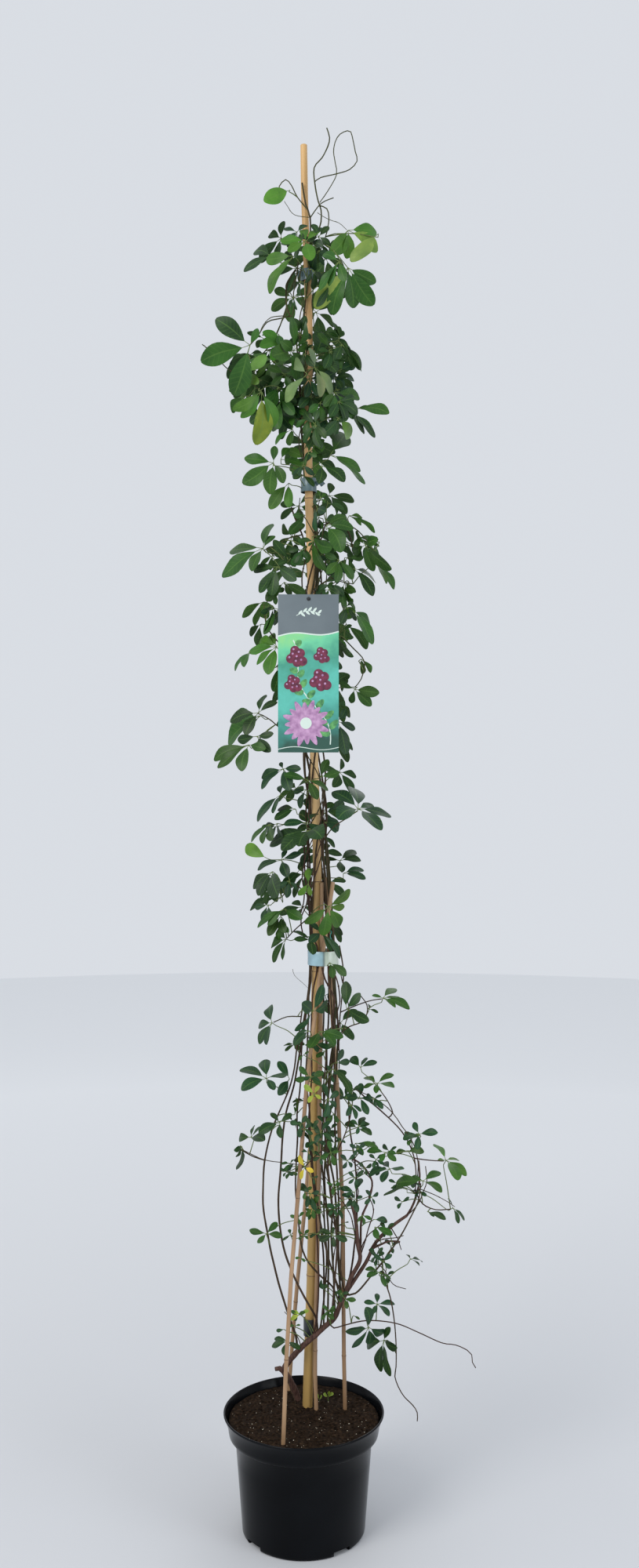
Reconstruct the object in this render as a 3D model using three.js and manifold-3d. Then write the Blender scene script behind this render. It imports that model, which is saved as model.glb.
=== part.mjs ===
import * as THREE from 'three';
import { mergeVertices } from 'three/addons/utils/BufferGeometryUtils.js';
import Module from 'manifold-3d';

// A chocolate vine in a nursery pot, tied to a tall bamboo cane and four thin stakes.
// Millimetres, +Z up, origin in the middle of the pot's flat base, front towards -Y.

const wasm = await Module();
wasm.setup();

const CM = 10;

// The plant was laid out from the front, as seen by an eye at this point. Every place in the
// lists below is where the eye sees it, in centimetres in the upright plane through the
// middle of the pot, with its depth behind that plane in millimetres.
const EYE = { x: 27.4, y: -2370, z: 1297 };

// Pot
const RIM_RADIUS = 140;
const POT_HEIGHT = 205;
const COLLAR_FOOT_RADIUS = 130;
const COLLAR_FOOT_Z = 168;
const WALL_TOP_RADIUS = 119.5;
const BASE_RADIUS = 105;
const WALL = 2.5;
const POT_SIDES = 30;
const LARGE_NOTCHES = [38, 128, -142, -52];
const SMALL_NOTCHES = [83, -97];

// Soil
const SOIL_Z = 190;
const SOIL_MOUND = 6;
const SOIL_SIDES = 30;
const HOLE_CLEARANCE = 0.5;

// Cane and stakes
const CANE_FOOT_Z = 40;
const CANE_SIDES = 7;
const STAKE_SIDES = 5;
const STAKE_RADIUS = 3.7;

// Leaves
const BLADE = 0.75;
const STALK_RADIUS = 0.9;
const HUB_RADIUS = 2.6;
const ARCH = 0.09;

// Stems
const STEM_SIDES = 3;
const STEM_GAP = 0.5;
const HELIX_PITCH = 550;
const HELIX_START = 1180;

function place([xSeen, zSeen], depth) {
  const k = (depth - EYE.y) / -EYE.y;
  return new THREE.Vector3(EYE.x + (xSeen * CM - EYE.x) * k, depth, EYE.z + (zSeen * CM - EYE.z) * k);
}

// A list row of a route is [x seen, z seen, depth].
function route(rows) {
  return rows.map(([x, z, depth]) => place([x, z], depth));
}

// Points at even steps on a smooth curve through the given points.
function smooth(points, step) {
  const out = [points[0].clone()];
  for (let i = 0; i + 1 < points.length; i += 1) {
    const p0 = points[Math.max(i - 1, 0)];
    const p1 = points[i];
    const p2 = points[i + 1];
    const p3 = points[Math.min(i + 2, points.length - 1)];
    const count = Math.max(1, Math.round(p1.distanceTo(p2) / step));
    for (let j = 1; j <= count; j += 1) {
      const t = j / count;
      const value = (axis) => {
        const a = p0[axis];
        const b = p1[axis];
        const c = p2[axis];
        const d = p3[axis];
        const cubic = (3 * (b - c) + d - a) * t;
        return b + 0.5 * t * (c - a + t * (2 * a - 5 * b + 4 * c - d + cubic));
      };
      out.push(new THREE.Vector3(value('x'), value('y'), value('z')));
    }
  }
  return out;
}

// The value at z of a list of [z, value] rows, straight between the rows.
function along(rows, z) {
  if (z <= rows[0][0]) return rows[0][1];
  for (let i = 0; i + 1 < rows.length; i += 1) {
    const [z0, v0] = rows[i];
    const [z1, v1] = rows[i + 1];
    if (z <= z1) return v0 + ((v1 - v0) * (z - z0)) / (z1 - z0);
  }
  return rows[rows.length - 1][1];
}

function solidOf(positions, triangles) {
  return new wasm.Manifold(new wasm.Mesh({
    numProp: 3,
    vertProperties: new Float32Array(positions),
    triVerts: new Uint32Array(triangles),
  }));
}

function solidFrom(geometry) {
  const plain = geometry.index ? geometry.clone() : geometry;
  plain.deleteAttribute('normal');
  plain.deleteAttribute('uv');
  const merged = mergeVertices(plain, 1e-4);
  return solidOf(merged.attributes.position.array, merged.index.array);
}

function nodeMesh(name, solid, color, roughness, metalness = 0) {
  const data = solid.getMesh();
  const geometry = new THREE.BufferGeometry();
  geometry.setAttribute('position', new THREE.BufferAttribute(new Float32Array(data.vertProperties), 3));
  geometry.setIndex(new THREE.BufferAttribute(new Uint32Array(data.triVerts), 1));
  geometry.computeVertexNormals();
  const material = new THREE.MeshStandardMaterial({ color, roughness, metalness });
  const mesh = new THREE.Mesh(geometry, material);
  mesh.name = name;
  return mesh;
}

// A round bar along the points, with flat ends; with loop, the last point joins the first.
function bar(points, radii, sides, loop = false) {
  const count = points.length;
  const radiusAt = (i) => (Array.isArray(radii) ? radii[i] : radii);
  const tangents = points.map((point, i) => {
    const before = loop ? points[(i + count - 1) % count] : points[Math.max(i - 1, 0)];
    const after = loop ? points[(i + 1) % count] : points[Math.min(i + 1, count - 1)];
    return after.clone().sub(before).normalize();
  });
  const across = Math.abs(tangents[0].z) > 0.8 ? new THREE.Vector3(1, 0, 0) : new THREE.Vector3(0, 0, 1);
  let side = across.addScaledVector(tangents[0], -across.dot(tangents[0])).normalize();
  const positions = [];
  for (let i = 0; i < count; i += 1) {
    side = side.clone().addScaledVector(tangents[i], -side.dot(tangents[i])).normalize();
    const up = tangents[i].clone().cross(side);
    for (let j = 0; j < sides; j += 1) {
      const angle = (2 * Math.PI * j) / sides;
      const p = points[i].clone();
      p.addScaledVector(side, radiusAt(i) * Math.cos(angle));
      p.addScaledVector(up, radiusAt(i) * Math.sin(angle));
      positions.push(p.x, p.y, p.z);
    }
  }
  const triangles = [];
  const rings = loop ? count : count - 1;
  for (let i = 0; i < rings; i += 1) {
    const next = ((i + 1) % count) * sides;
    for (let j = 0; j < sides; j += 1) {
      const a = i * sides + j;
      const b = i * sides + ((j + 1) % sides);
      const c = next + j;
      const d = next + ((j + 1) % sides);
      triangles.push(a, b, d, a, d, c);
    }
  }
  if (!loop) {
    const last = (count - 1) * sides;
    for (let j = 1; j + 1 < sides; j += 1) {
      triangles.push(0, j + 1, j);
      triangles.push(last, last + j, last + j + 1);
    }
  }
  return solidOf(positions, triangles);
}

// Pot

function lathe(profile, sides) {
  const turned = new THREE.LatheGeometry(profile.map(([r, z]) => new THREE.Vector2(r, z)), sides);
  turned.rotateX(Math.PI / 2);
  return solidFrom(turned);
}

function notch(degrees, width, height) {
  const box = new THREE.BoxGeometry(width, 30, height);
  box.translate(0, -(BASE_RADIUS + 2), 0);
  box.rotateZ(THREE.MathUtils.degToRad(degrees));
  return solidFrom(box);
}

function pot() {
  const profile = [
    [0, 0], [BASE_RADIUS - 1.5, 0], [BASE_RADIUS + 2, 4], [WALL_TOP_RADIUS, COLLAR_FOOT_Z - 2],
    [COLLAR_FOOT_RADIUS, COLLAR_FOOT_Z], [132.5, 184], [139, 201], [RIM_RADIUS, POT_HEIGHT - 1.5],
    [RIM_RADIUS - 2, POT_HEIGHT], [130, 184],
    [COLLAR_FOOT_RADIUS - WALL, COLLAR_FOOT_Z + WALL], [WALL_TOP_RADIUS - WALL, COLLAR_FOOT_Z],
    [BASE_RADIUS - 1, 5], [BASE_RADIUS - 4, WALL], [0, WALL],
  ];
  let body = lathe(profile, POT_SIDES);
  for (const degrees of LARGE_NOTCHES) body = body.subtract(notch(degrees, 34, 17));
  for (const degrees of SMALL_NOTCHES) body = body.subtract(notch(degrees, 14, 11));
  return body;
}

// Soil

function soil(holes) {
  const profile = [
    [0, WALL + 0.4], [86, WALL + 0.4], [BASE_RADIUS - 2.5, 11],
    [WALL_TOP_RADIUS - WALL - 0.5, COLLAR_FOOT_Z + 0.2],
      [COLLAR_FOOT_RADIUS - WALL - 0.6, COLLAR_FOOT_Z + 3],
    [130.6, SOIL_Z], [72, SOIL_Z + 2], [0, SOIL_Z + SOIL_MOUND],
  ];
  const body = lathe(profile, SOIL_SIDES);
  let lumpy = body.warp((v) => {
    if (v[2] > SOIL_Z - 1 && Math.hypot(v[0], v[1]) < 125) {
      v[2] += 1.6 * Math.sin(v[0] / 13) * Math.cos(v[1] / 11);
    }
  });
  for (const hole of holes) lumpy = lumpy.subtract(hole);
  return lumpy;
}

// Cane and stakes. Rows of an axis are [x seen, z seen, depth].

const CANE_AXIS = route([
  [0.6, 3, 36], [0.65, 22, 35], [0.95, 32, 34], [1.37, 44, 33], [1.6, 56, 32], [1.75, 80, 29.5],
  [2.15, 96, 28], [2.4, 112, 26.5], [2.2, 122, 25.5], [1.8, 134, 24.5], [1.3, 166, 21.5],
  [0.9, 179, 20.5], [0.75, 190, 19.5], [0.95, 206, 18.5], [0.8, 214, 17.5], [0.14, 232, 15.5],
    [0, 241.2, 15],
]);
const CANE_RADIUS = [[190, 8.9], [500, 8.6], [1000, 7.7], [1700, 7.2], [2050, 6.8], [2412, 6]];
const CANE_NODES = [430, 690, 968, 1126, 1390, 1600, 1800, 2035, 2262];

function pointAt(axis, z) {
  for (let i = 0; i + 1 < axis.length; i += 1) {
    if (z <= axis[i + 1].z || i + 2 === axis.length) {
      const t = (z - axis[i].z) / (axis[i + 1].z - axis[i].z);
      return axis[i].clone().lerp(axis[i + 1], t);
    }
  }
  return axis[0].clone();
}

const CANE_LINE = smooth(CANE_AXIS, 120);

function caneAt(z) {
  return pointAt(CANE_LINE, z);
}

// Rings of a bamboo cane: a ridge at each node, with a narrow waist under it.
function bambooRings(line, radiusAt, nodes, footZ, topZ, ridge) {
  const levels = [[footZ, 0], [topZ, 0]];
  for (const point of line) {
    const clear = nodes.every((z) => Math.abs(z - point.z) > 18);
    if (clear && point.z > footZ + 20 && point.z < topZ - 20) levels.push([point.z, 0]);
  }
  for (const z of nodes) levels.push([z - 5, 0], [z, ridge], [z + 4, 0]);
  levels.sort((a, b) => a[0] - b[0]);
  return {
    points: levels.map(([z]) => pointAt(line, z)),
    radii: levels.map(([z, extra]) => radiusAt(z) + extra),
  };
}

function mainCane(extra = 0) {
  const top = CANE_AXIS[CANE_AXIS.length - 1].z;
  const foot = extra > 0 ? CANE_FOOT_Z - HOLE_CLEARANCE : CANE_FOOT_Z;
  const nodes = extra > 0 ? [] : CANE_NODES;
  const rings = bambooRings(CANE_LINE, (z) => along(CANE_RADIUS, z) + extra, nodes, foot, top, 0.9);
  return bar(rings.points, rings.radii, CANE_SIDES);
}

const STAKES = {
  stake_front: {
    axis: [[-3.65, 9.5, -97], [-3.6, 14.2, -100], [-3.1, 28, -88], [-2.2, 44, -66], [-1, 58, -47],
      [0.4, 76, -22],
      [1.5, 86, -8], [2.8, 96, 3], [3.7, 103, 6], [5.1, 112.6, 8]],
    nodes: [330, 590, 850, 1045],
  },
  stake_back: {
    axis: [[-2.9, 12, 100], [-2.6, 24, 103], [-1.2, 42, 90], [0.2, 56, 77], [2.2, 80, 58],
      [3.3, 99, 44], [3.6, 106, 40]],
    nodes: [360, 640, 900],
  },
  stake_cane: {
    axis: [[2.4, 9, 18], [2.2, 19.9, 19], [1.98, 26, 24], [2.0, 32, 23], [2.3, 44, 21], [2.55, 56, 20.5],
      [2.72, 70, 19.5], [2.9, 84, 19], [3.1, 100, 18.5], [3.15, 112.5, 15.5]],
    nodes: [300, 540, 800, 1050],
  },
  stake_right: {
    axis: [[7.3, 9, 27], [7.2, 20.4, 26], [7.0, 30, 26], [6.9, 44, 26], [6.8, 56, 26], [6.3, 66, 26],
      [5.9, 76, 26],
      [5.3, 84, 25.5], [4.6, 96, 24.5], [3.95, 113.4, 24]],
    nodes: [290, 520, 770, 1020],
  },
};

function stake(spec, extra = 0) {
  const line = smooth(route(spec.axis), 110);
  const foot = line[0].z - (extra > 0 ? HOLE_CLEARANCE : 0);
  const nodes = extra > 0 ? [] : spec.nodes;
  const rings = bambooRings(line, () => STAKE_RADIUS + extra, nodes, foot, line[line.length - 1].z, 0.5);
  return bar(rings.points, rings.radii, STAKE_SIDES);
}

// Ties

function band(centre, halfWidth, halfDepth, low, high, wall) {
  const outer = new THREE.Shape();
  outer.absellipse(0, 0, halfWidth + wall, halfDepth + wall, 0, 2 * Math.PI);
  const inner = new THREE.Path();
  inner.absellipse(0, 0, halfWidth, halfDepth, 0, 2 * Math.PI, true);
  outer.holes.push(inner);
  const ring = new THREE.ExtrudeGeometry(outer, { depth: high - low, bevelEnabled: false,
    curveSegments: 6 });
  ring.translate(centre.x, centre.y, low);
  return solidFrom(ring);
}

const TIES = {
  tie_crown: { z: 2190, height: 20, halfWidth: 11.5, halfDepth: 11.5, wall: 0.8, color: 0x6d8a94 },
  tie_neck: { z: 1822, height: 24, halfWidth: 13.5, halfDepth: 13.5, wall: 0.8, color: 0x7a98a3 },
  clip_low: { z: 337, height: 30, halfWidth: 9.7, halfDepth: 9.7, wall: 1.6, color: 0x23282b },
};
const WIDE_BAND = { x: 34, y: 26, low: 979, high: 1004, halfWidth: 27, halfDepth: 27, wall: 0.9 };

// Label: a thin sheet with a hole, hung in front of the leaves on a loop round the cane.

const LABEL = { left: -4.5, right: 6.1, low: 135.2, high: 162.8, holeX: 0.85, holeZ: 162, depth: -62,
  sheet: 0.9 };

function label() {
  const lowLeft = place([LABEL.left, LABEL.low], LABEL.depth);
  const highRight = place([LABEL.right, LABEL.high], LABEL.depth);
  const hole = place([LABEL.holeX, LABEL.holeZ], LABEL.depth);
  const width = highRight.x - lowLeft.x;
  const height = highRight.z - lowLeft.z;
  const sheet = new THREE.Shape();
  sheet.moveTo(0, 0);
  sheet.lineTo(width, 0);
  sheet.lineTo(width, height);
  sheet.lineTo(0, height);
  sheet.closePath();
  const eyelet = new THREE.Path();
  eyelet.absarc(hole.x - lowLeft.x, hole.z - lowLeft.z, 3.3, 0, 2 * Math.PI, true);
  sheet.holes.push(eyelet);
  const body = new THREE.ExtrudeGeometry(sheet, { depth: LABEL.sheet, bevelEnabled: false,
    curveSegments: 8 });
  body.rotateX(Math.PI / 2);
  body.translate(lowLeft.x, lowLeft.y + LABEL.sheet, lowLeft.z);
  return solidFrom(body);
}

// The loop that holds the label: through its hole, back past both sides of the cane.
function labelLoop() {
  const hole = place([LABEL.holeX, LABEL.holeZ], LABEL.depth);
  const cane = caneAt(1645);
  const reach = along(CANE_RADIUS, 1645) + 2.3;
  const points = [
    new THREE.Vector3(hole.x, hole.y - 2.2, hole.z),
    new THREE.Vector3(hole.x - 1.5, hole.y + 3, hole.z + 3.2),
    new THREE.Vector3(cane.x - reach * 0.9, cane.y - 14, 1640),
    new THREE.Vector3(cane.x - reach, cane.y, 1645),
    new THREE.Vector3(cane.x - reach * 0.55, cane.y + reach * 0.85, 1646),
    new THREE.Vector3(cane.x + reach * 0.55, cane.y + reach * 0.85, 1646),
    new THREE.Vector3(cane.x + reach, cane.y, 1645),
    new THREE.Vector3(cane.x + reach * 0.9, cane.y - 14, 1640),
    new THREE.Vector3(hole.x + 1.5, hole.y + 3, hole.z + 3.2),
  ];
  return { points, radius: 0.7 };
}

// Plant. Each stem is a list of routes: the first is the stem, the others are its side
// shoots, which grow out of it.

const TRUNK = {
  name: 'trunk',
  radii: [6.2, 4.2],
  routes: [
    [[-1, 19, 66], [-1.1, 22.4, 64], [-2.3, 25.4, 54], [-3.4, 27.4, 42], [-2.4, 29.2, 24],
      [0, 31.8, 10], [2, 33.5, 4],
      [3.5, 34.9, 2], [5.3, 36.5, 2], [6.4, 39, 4], [7.4, 41, 6]],
  ],
  shoots: [
    { radii: [5, 3.6], rows: [[-3.2, 27.2, 44], [-4.2, 27.8, 46], [-5, 27.6, 47]] },
    { radii: [4.2, 3], rows: [[7.2, 40.6, 6], [8.2, 43.5, 4], [9.8, 46.6, 2], [9.4, 49.5, 0],
      [9, 54, -2], [8, 57.5, -4]] },
    { radii: [3.6, 2.6], rows: [[7.4, 41, 6], [9.4, 44, 8], [11, 46.5, 10], [12.3, 49.3, 12],
      [14, 51.3, 12],
      [16, 53, 12], [18, 54.4, 12]] },
    { radii: [2.2, 1.5], rows: [[18, 54.4, 12], [19.2, 56.6, 14], [20.2, 60.5, 16], [20, 64, 16]] },
    { radii: [2, 1.6], rows: [[12, 49, 12], [13.6, 49.6, 6], [15, 50, 4], [16.8, 49.8, 4]] },
    { radii: [2.2, 1.6], rows: [[9.8, 46.6, 2], [9.9, 50, 8], [10.1, 54, 10], [11.3, 57, 10],
      [11.9, 60.4, 10], [10, 63.4, 10], [8.4, 64.2, 10]] },
    { radii: [1.7, 1.1], rows: [[8.2, 40, 2], [9.8, 40.3, -8], [12, 43.5, -12], [14.6, 47.4, -14],
      [17, 51, -14],
      [18.6, 54, -12], [20, 57, -10], [20.4, 60, -10]] },
    { radii: [1.3, 0.9], rows: [[13.9, 46.3, -13], [14.2, 43.6, -16], [15.2, 40, -18], [15.8, 36, -20],
      [16.1, 32, -20],
      [16.1, 28, -20], [15.9, 26.3, -20], [16.5, 24.5, -20], [17.5, 22.8, -20], [19, 21.3, -20],
        [19.8, 20, -20], [19.8, 18.5, -20]] },
    { radii: [1.2, 0.8], rows: [[4.6, 35.8, 0], [5.4, 34.9, -8], [7, 35.3, -10], [11, 36.1, -22],
      [16, 35.6, -34], [20, 34, -36],
      [24, 32.2, -36], [26.5, 31.8, -36], [28.5, 30.9, -36], [29.3, 30.1, -36], [29.4, 28.8, -36],
        [30, 27.8, -36]] },
  ],
};

// Slots are the places where the stems pass through the wide band, [x, y] in millimetres.
const STEMS = [
  { name: 'stem_crown', foot: 0.93, free: [[5.9, 46, 4], [5.7, 56, 0], [4.6, 66, -6], [4.4, 76, -6],
    [5.4, 86, 6]],
    slot: [52, 18], turn: -25, climb: 2185, radii: [2.3, 1.5],
    tip: [[0.9, 220.9, 8.6], [1.1, 223.6, 4], [1.1, 228.5, 3], [0.3, 231, 3], [-0.3, 234.6, 4]],
    shoots: [
      { radii: [1.4, 1.1], rows: [[1.1, 224, 4], [2.3, 226, 0], [3, 228, -2], [3, 230, -2],
        [2.5, 231.5, -4], [2, 234, -4],
        [1.8, 237.2, -4], [3.2, 239, -4], [4.2, 241, -4], [4.5, 242.5, -4], [4, 244.2, -4]] },
      { radii: [1, 0.8], rows: [[1.9, 234.6, -4], [3, 235.4, -2], [5.7, 236.1, 2], [8, 236.9, 4],
        [9.3, 238.4, 4], [9, 240, 2],
        [8.6, 242, 0], [8.2, 243.5, 0], [7.6, 243.7, 0], [6.3, 243.1, -4], [5.5, 241.8, -10],
          [5.2, 240, -14],
        [5.5, 238, -16], [5.7, 236, -16], [4.2, 233.2, -16], [2.8, 231.2, -12]] },
      { radii: [1.1, 0.9], rows: [[1.1, 228.5, 3], [3, 231, -8], [5.2, 232, -10]] },
      { radii: [1.1, 0.9], rows: [[2.6, 230.8, -6], [3.9, 230.2, -12], [4.3, 228.5, -14], [4, 226, -14],
        [3.3, 224, -12]] },
      { radii: [1.1, 0.9], rows: [[0.6, 230, 3], [-1.2, 232.2, 6], [-2.2, 234.2, 6], [-3.2, 235.2, 4],
        [-4.3, 234, 2], [-4, 232.9, 0]] },
    ] },
  { name: 'stem_upper_left', foot: 0.83, free: [[5.1, 46, 12], [4.7, 56, 10], [4.1, 66, 6],
    [5.2, 76, 6], [5.9, 86, 16]],
    slot: [53, 27], turn: 5, climb: 2060, radii: [2.2, 1.5],
    tip: [[-1.6, 209, 2], [-3, 213, 4], [-2.9, 217, 6], [-1.4, 219.5, 4]],
    shoots: [
      { radii: [1.2, 0.9], rows: [[-2.6, 211.6, 3], [-4.3, 211.1, -2], [-6.5, 210.4, -8],
        [-8, 208, -12], [-9.3, 206.4, -16]] },
      { radii: [1.2, 0.9], rows: [[-2.8, 212.6, 4], [-5, 207.5, -14], [-8, 203.9, -34],
        [-10.7, 201.4, -48], [-9, 199.6, -52], [-7.6, 198.3, -54]] },
      { radii: [1, 0.8], rows: [[-9.6, 202.9, -42], [-12.5, 201.7, -40], [-15, 203.8, -40],
        [-17.5, 206.3, -42]] },
    ] },
  { name: 'stem_upper_right', foot: 0.76, free: [[4.3, 46, 20], [4, 56, 24], [3.9, 66, 42],
    [4.4, 76, 42], [5.5, 86, 40]],
    slot: [50, 36], turn: 35, climb: 2090, radii: [2.2, 1.5], tip: [], shoots: [] },
  { name: 'stem_neck', foot: 0.725, free: [[3.5, 46, 50], [3.3, 56, 50], [3.3, 66, 52], [3.9, 76, 52],
    [4.5, 88, 50]],
    slot: [43, 42], turn: 65, climb: 1885, radii: [2.1, 1.5], tip: [], shoots: [] },
  { name: 'stem_shoulder_right', foot: 0.98, free: [[6.2, 46, -8], [5.9, 56, -12], [5.4, 66, -16],
    [5.2, 76, -14], [4.9, 88, 0]],
    slot: [45, 12], turn: 306, climb: 1700, radii: [2.1, 1.4],
    tip: [[3.2, 173, 0], [3.9, 175.2, -6], [5, 175.3, -12], [6.8, 174.8, -14], [8, 173.2, -14],
      [8.5, 171, -12]],
    shoots: [
      { radii: [1.3, 0.9], rows: [[3.1, 120.4, 14], [4.9, 122.4, -4], [7.4, 123.8, -14], [9.4, 125, -20]] },
      { radii: [1.2, 0.9], rows: [[5.6, 175.2, -13], [8.6, 174.4, -20], [10.6, 172.6, -22],
        [12.4, 170.2, -22]] },
      { radii: [1.2, 0.9], rows: [[2.6, 170, 4], [4.2, 166.6, -12], [6.2, 165.2, -18], [8.6, 164.6, -20]] },
    ] },
  { name: 'stem_shoulder_left', foot: 0.655, free: [[2.2, 36.4, 0], [0.2, 40, -2], [-2, 44.5, 0],
    [-3.5, 49, 2], [-4.3, 56, 4], [-4, 62, 6],
    [-3.3, 71, 8], [-2, 77, 10], [0, 88, 14]],
    slot: [12, 19], turn: 165, climb: 1740, radii: [2.3, 1.4], tip: [[-1.5, 176, 4], [-2.2, 178, 6]],
    shoots: [
      { radii: [1.2, 0.9], rows: [[-0.4, 172.6, 6], [-2.6, 172.3, -4], [-5, 171.2, -10],
        [-7, 170.5, -14]] },
    ] },
  { name: 'stem_label_right', foot: 0.69, free: [[4, 46, 36], [3.6, 56, 62], [3, 66, 60], [3.2, 76, 62],
    [3.6, 88, 54]],
    slot: [33, 54.5 - 6], turn: 95, climb: 1600, radii: [2.0, 1.4], tip: [],
    shoots: [
      { radii: [1.3, 0.9], rows: [[3.4, 154, 6], [6.2, 155.6, -14], [8.9, 153.2, -22], [10.6, 151, -24],
        [10, 148, -24], [8.9, 146.6, -24]] },
    ] },
  { name: 'stem_label_left', foot: 0.955, free: [[5.4, 44, -4], [3.2, 52, -12], [1.6, 62, -14],
    [0.9, 72, -12], [0.6, 82, -2], [0.8, 92, 6]],
    slot: [10.5, 30], turn: 265, climb: 1600, radii: [2.0, 1.4], tip: [],
    shoots: [
      { radii: [1.3, 0.9], rows: [[3.1, 135.8, 20], [2.4, 136.4, 9], [0.4, 137.4, 3], [-3, 138.6, -10],
        [-6, 141, -20], [-8, 142, -24]] },
      { radii: [1.3, 0.9], rows: [[-0.3, 149.8, 22], [-1.6, 151, 8], [-3.4, 153, -14], [-6.4, 157, -20],
        [-6.9, 161.2, -20]] },
    ] },
  { name: 'stem_waist', foot: 0.9, free: [[5, 42, 10], [3, 43.8, 2], [0.3, 47, -2], [-1, 51, 2],
    [-1.4, 58, 22], [-1, 66, 44], [-0.8, 76, 48],
    [0, 86, 48], [0.9, 93, 46]],
    slot: [15, 41], turn: 134, climb: 1310, radii: [2.0, 1.4], tip: [[1.2, 134, 8]], shoots: [] },
  { name: 'stem_middle', foot: 0.62, free: [[2.4, 38, -8], [2.6, 46, -12], [2.2, 56, -16],
    [1.4, 68, -22], [1, 80, -14], [1.4, 92, 2]],
    slot: [23, 9], turn: 200, climb: 0, radii: [2.0, 1.4],
    tip: [[1.6, 103, 6], [0.9, 108, 6], [0.2, 114, 8], [0.1, 119, 8]],
    shoots: [
      { radii: [1.2, 0.9], rows: [[0.2, 110, 6], [-1.8, 112, -4], [-3.8, 110, -12]] },
      { radii: [1.2, 0.9], rows: [[1.2, 106, 6], [-1.4, 104.2, -4], [-3, 102.7, -10]] },
    ] },
  { name: 'stem_band', foot: 0.865, free: [[6.5, 46, 42], [6.3, 56, 50], [6, 66, 50], [5.9, 76, 44],
    [6.1, 86, 30], [6.6, 92, 18],
    [6.9, 97, 10]],
    slot: null, turn: 0, climb: 0, radii: [2.0, 1.3], tip: [[6.2, 101.5, 4]],
    shoots: [
      { radii: [1.2, 0.9], rows: [[6, 86, 30], [8, 87.4, 10], [10.2, 88.2, 0], [11, 89.6, 0],
        [11, 91.2, 0], [9.8, 92.9, 0]] },
      { radii: [1.2, 0.9], rows: [[6.4, 90, 22], [9.4, 91.2, 2], [11.6, 91.9, -4], [13.6, 92.2, -8]] },
    ] },
  { name: 'stem_left_arc', foot: 0.47, free: [[-1.4, 33.4, 4], [-2, 35, 4], [-3.3, 39, 4],
    [-4.8, 44, 2], [-6, 50, 0], [-6.7, 54, 0], [-7.2, 60, 0],
    [-7, 64, 0], [-6, 68, 2], [-4, 73, 4], [-2.4, 78, 4], [-1.2, 84, 4], [-0.2, 91, 4]],
    slot: null, turn: 0, climb: 0, radii: [2.4, 1.5], tip: [],
    shoots: [
      { radii: [1.1, 0.9], rows: [[-7, 64, 0], [-8.8, 64.6, -4], [-11, 65.8, -6], [-12, 66, -8]] },
      { radii: [1.1, 0.9], rows: [[-0.7, 88.6, 4], [-3, 88.9, 6], [-5.3, 88.1, 8]] },
    ] },
  { name: 'stem_centre', foot: 0.795, free: [[5.6, 48, -18], [5, 56, -26], [3.9, 64, -30],
    [3.3, 72, -30], [3.6, 80, -26], [3.9, 87, -20]],
    slot: null, turn: 0, climb: 0, radii: [2.2, 1.4], tip: [],
    shoots: [
      { radii: [1.2, 0.9], rows: [[3.6, 66, -30], [1.8, 64.6, -34], [0.3, 63, -36]] },
      { radii: [1.3, 0.9], rows: [[4.2, 62.6, -29], [6.6, 67, -22], [8.2, 72, -16], [8.6, 76, -14]] },
    ] },
  { name: 'stem_right_arc', foot: 0.998, free: [[8.8, 47, 26], [9.4, 55, 32], [9.2, 63, 36],
    [8.4, 70, 36], [8, 76, 30]],
    slot: null, turn: 0, climb: 0, radii: [2.2, 1.3],
    tip: [[9.2, 76.4, 22], [11.2, 74.6, 14], [13.5, 72.8, 8], [17.5, 69, 4], [19.3, 65.5, 2],
      [19.8, 62, 2], [19.6, 58.6, 2]],
    shoots: [
      { radii: [1.2, 0.9], rows: [[14.6, 71.6, 6], [15.4, 72.4, 2], [14.6, 74.4, -4], [13.2, 76.4, -8]] },
      { radii: [1.2, 0.9], rows: [[19.5, 64, 2], [22, 63.9, 4], [24.4, 63.9, 6]] },
      { radii: [1.2, 0.9], rows: [[19.6, 58.6, 2], [20.8, 56.4, 4], [23, 55.4, 6], [25.6, 55.5, 8]] },
    ] },
];

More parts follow.
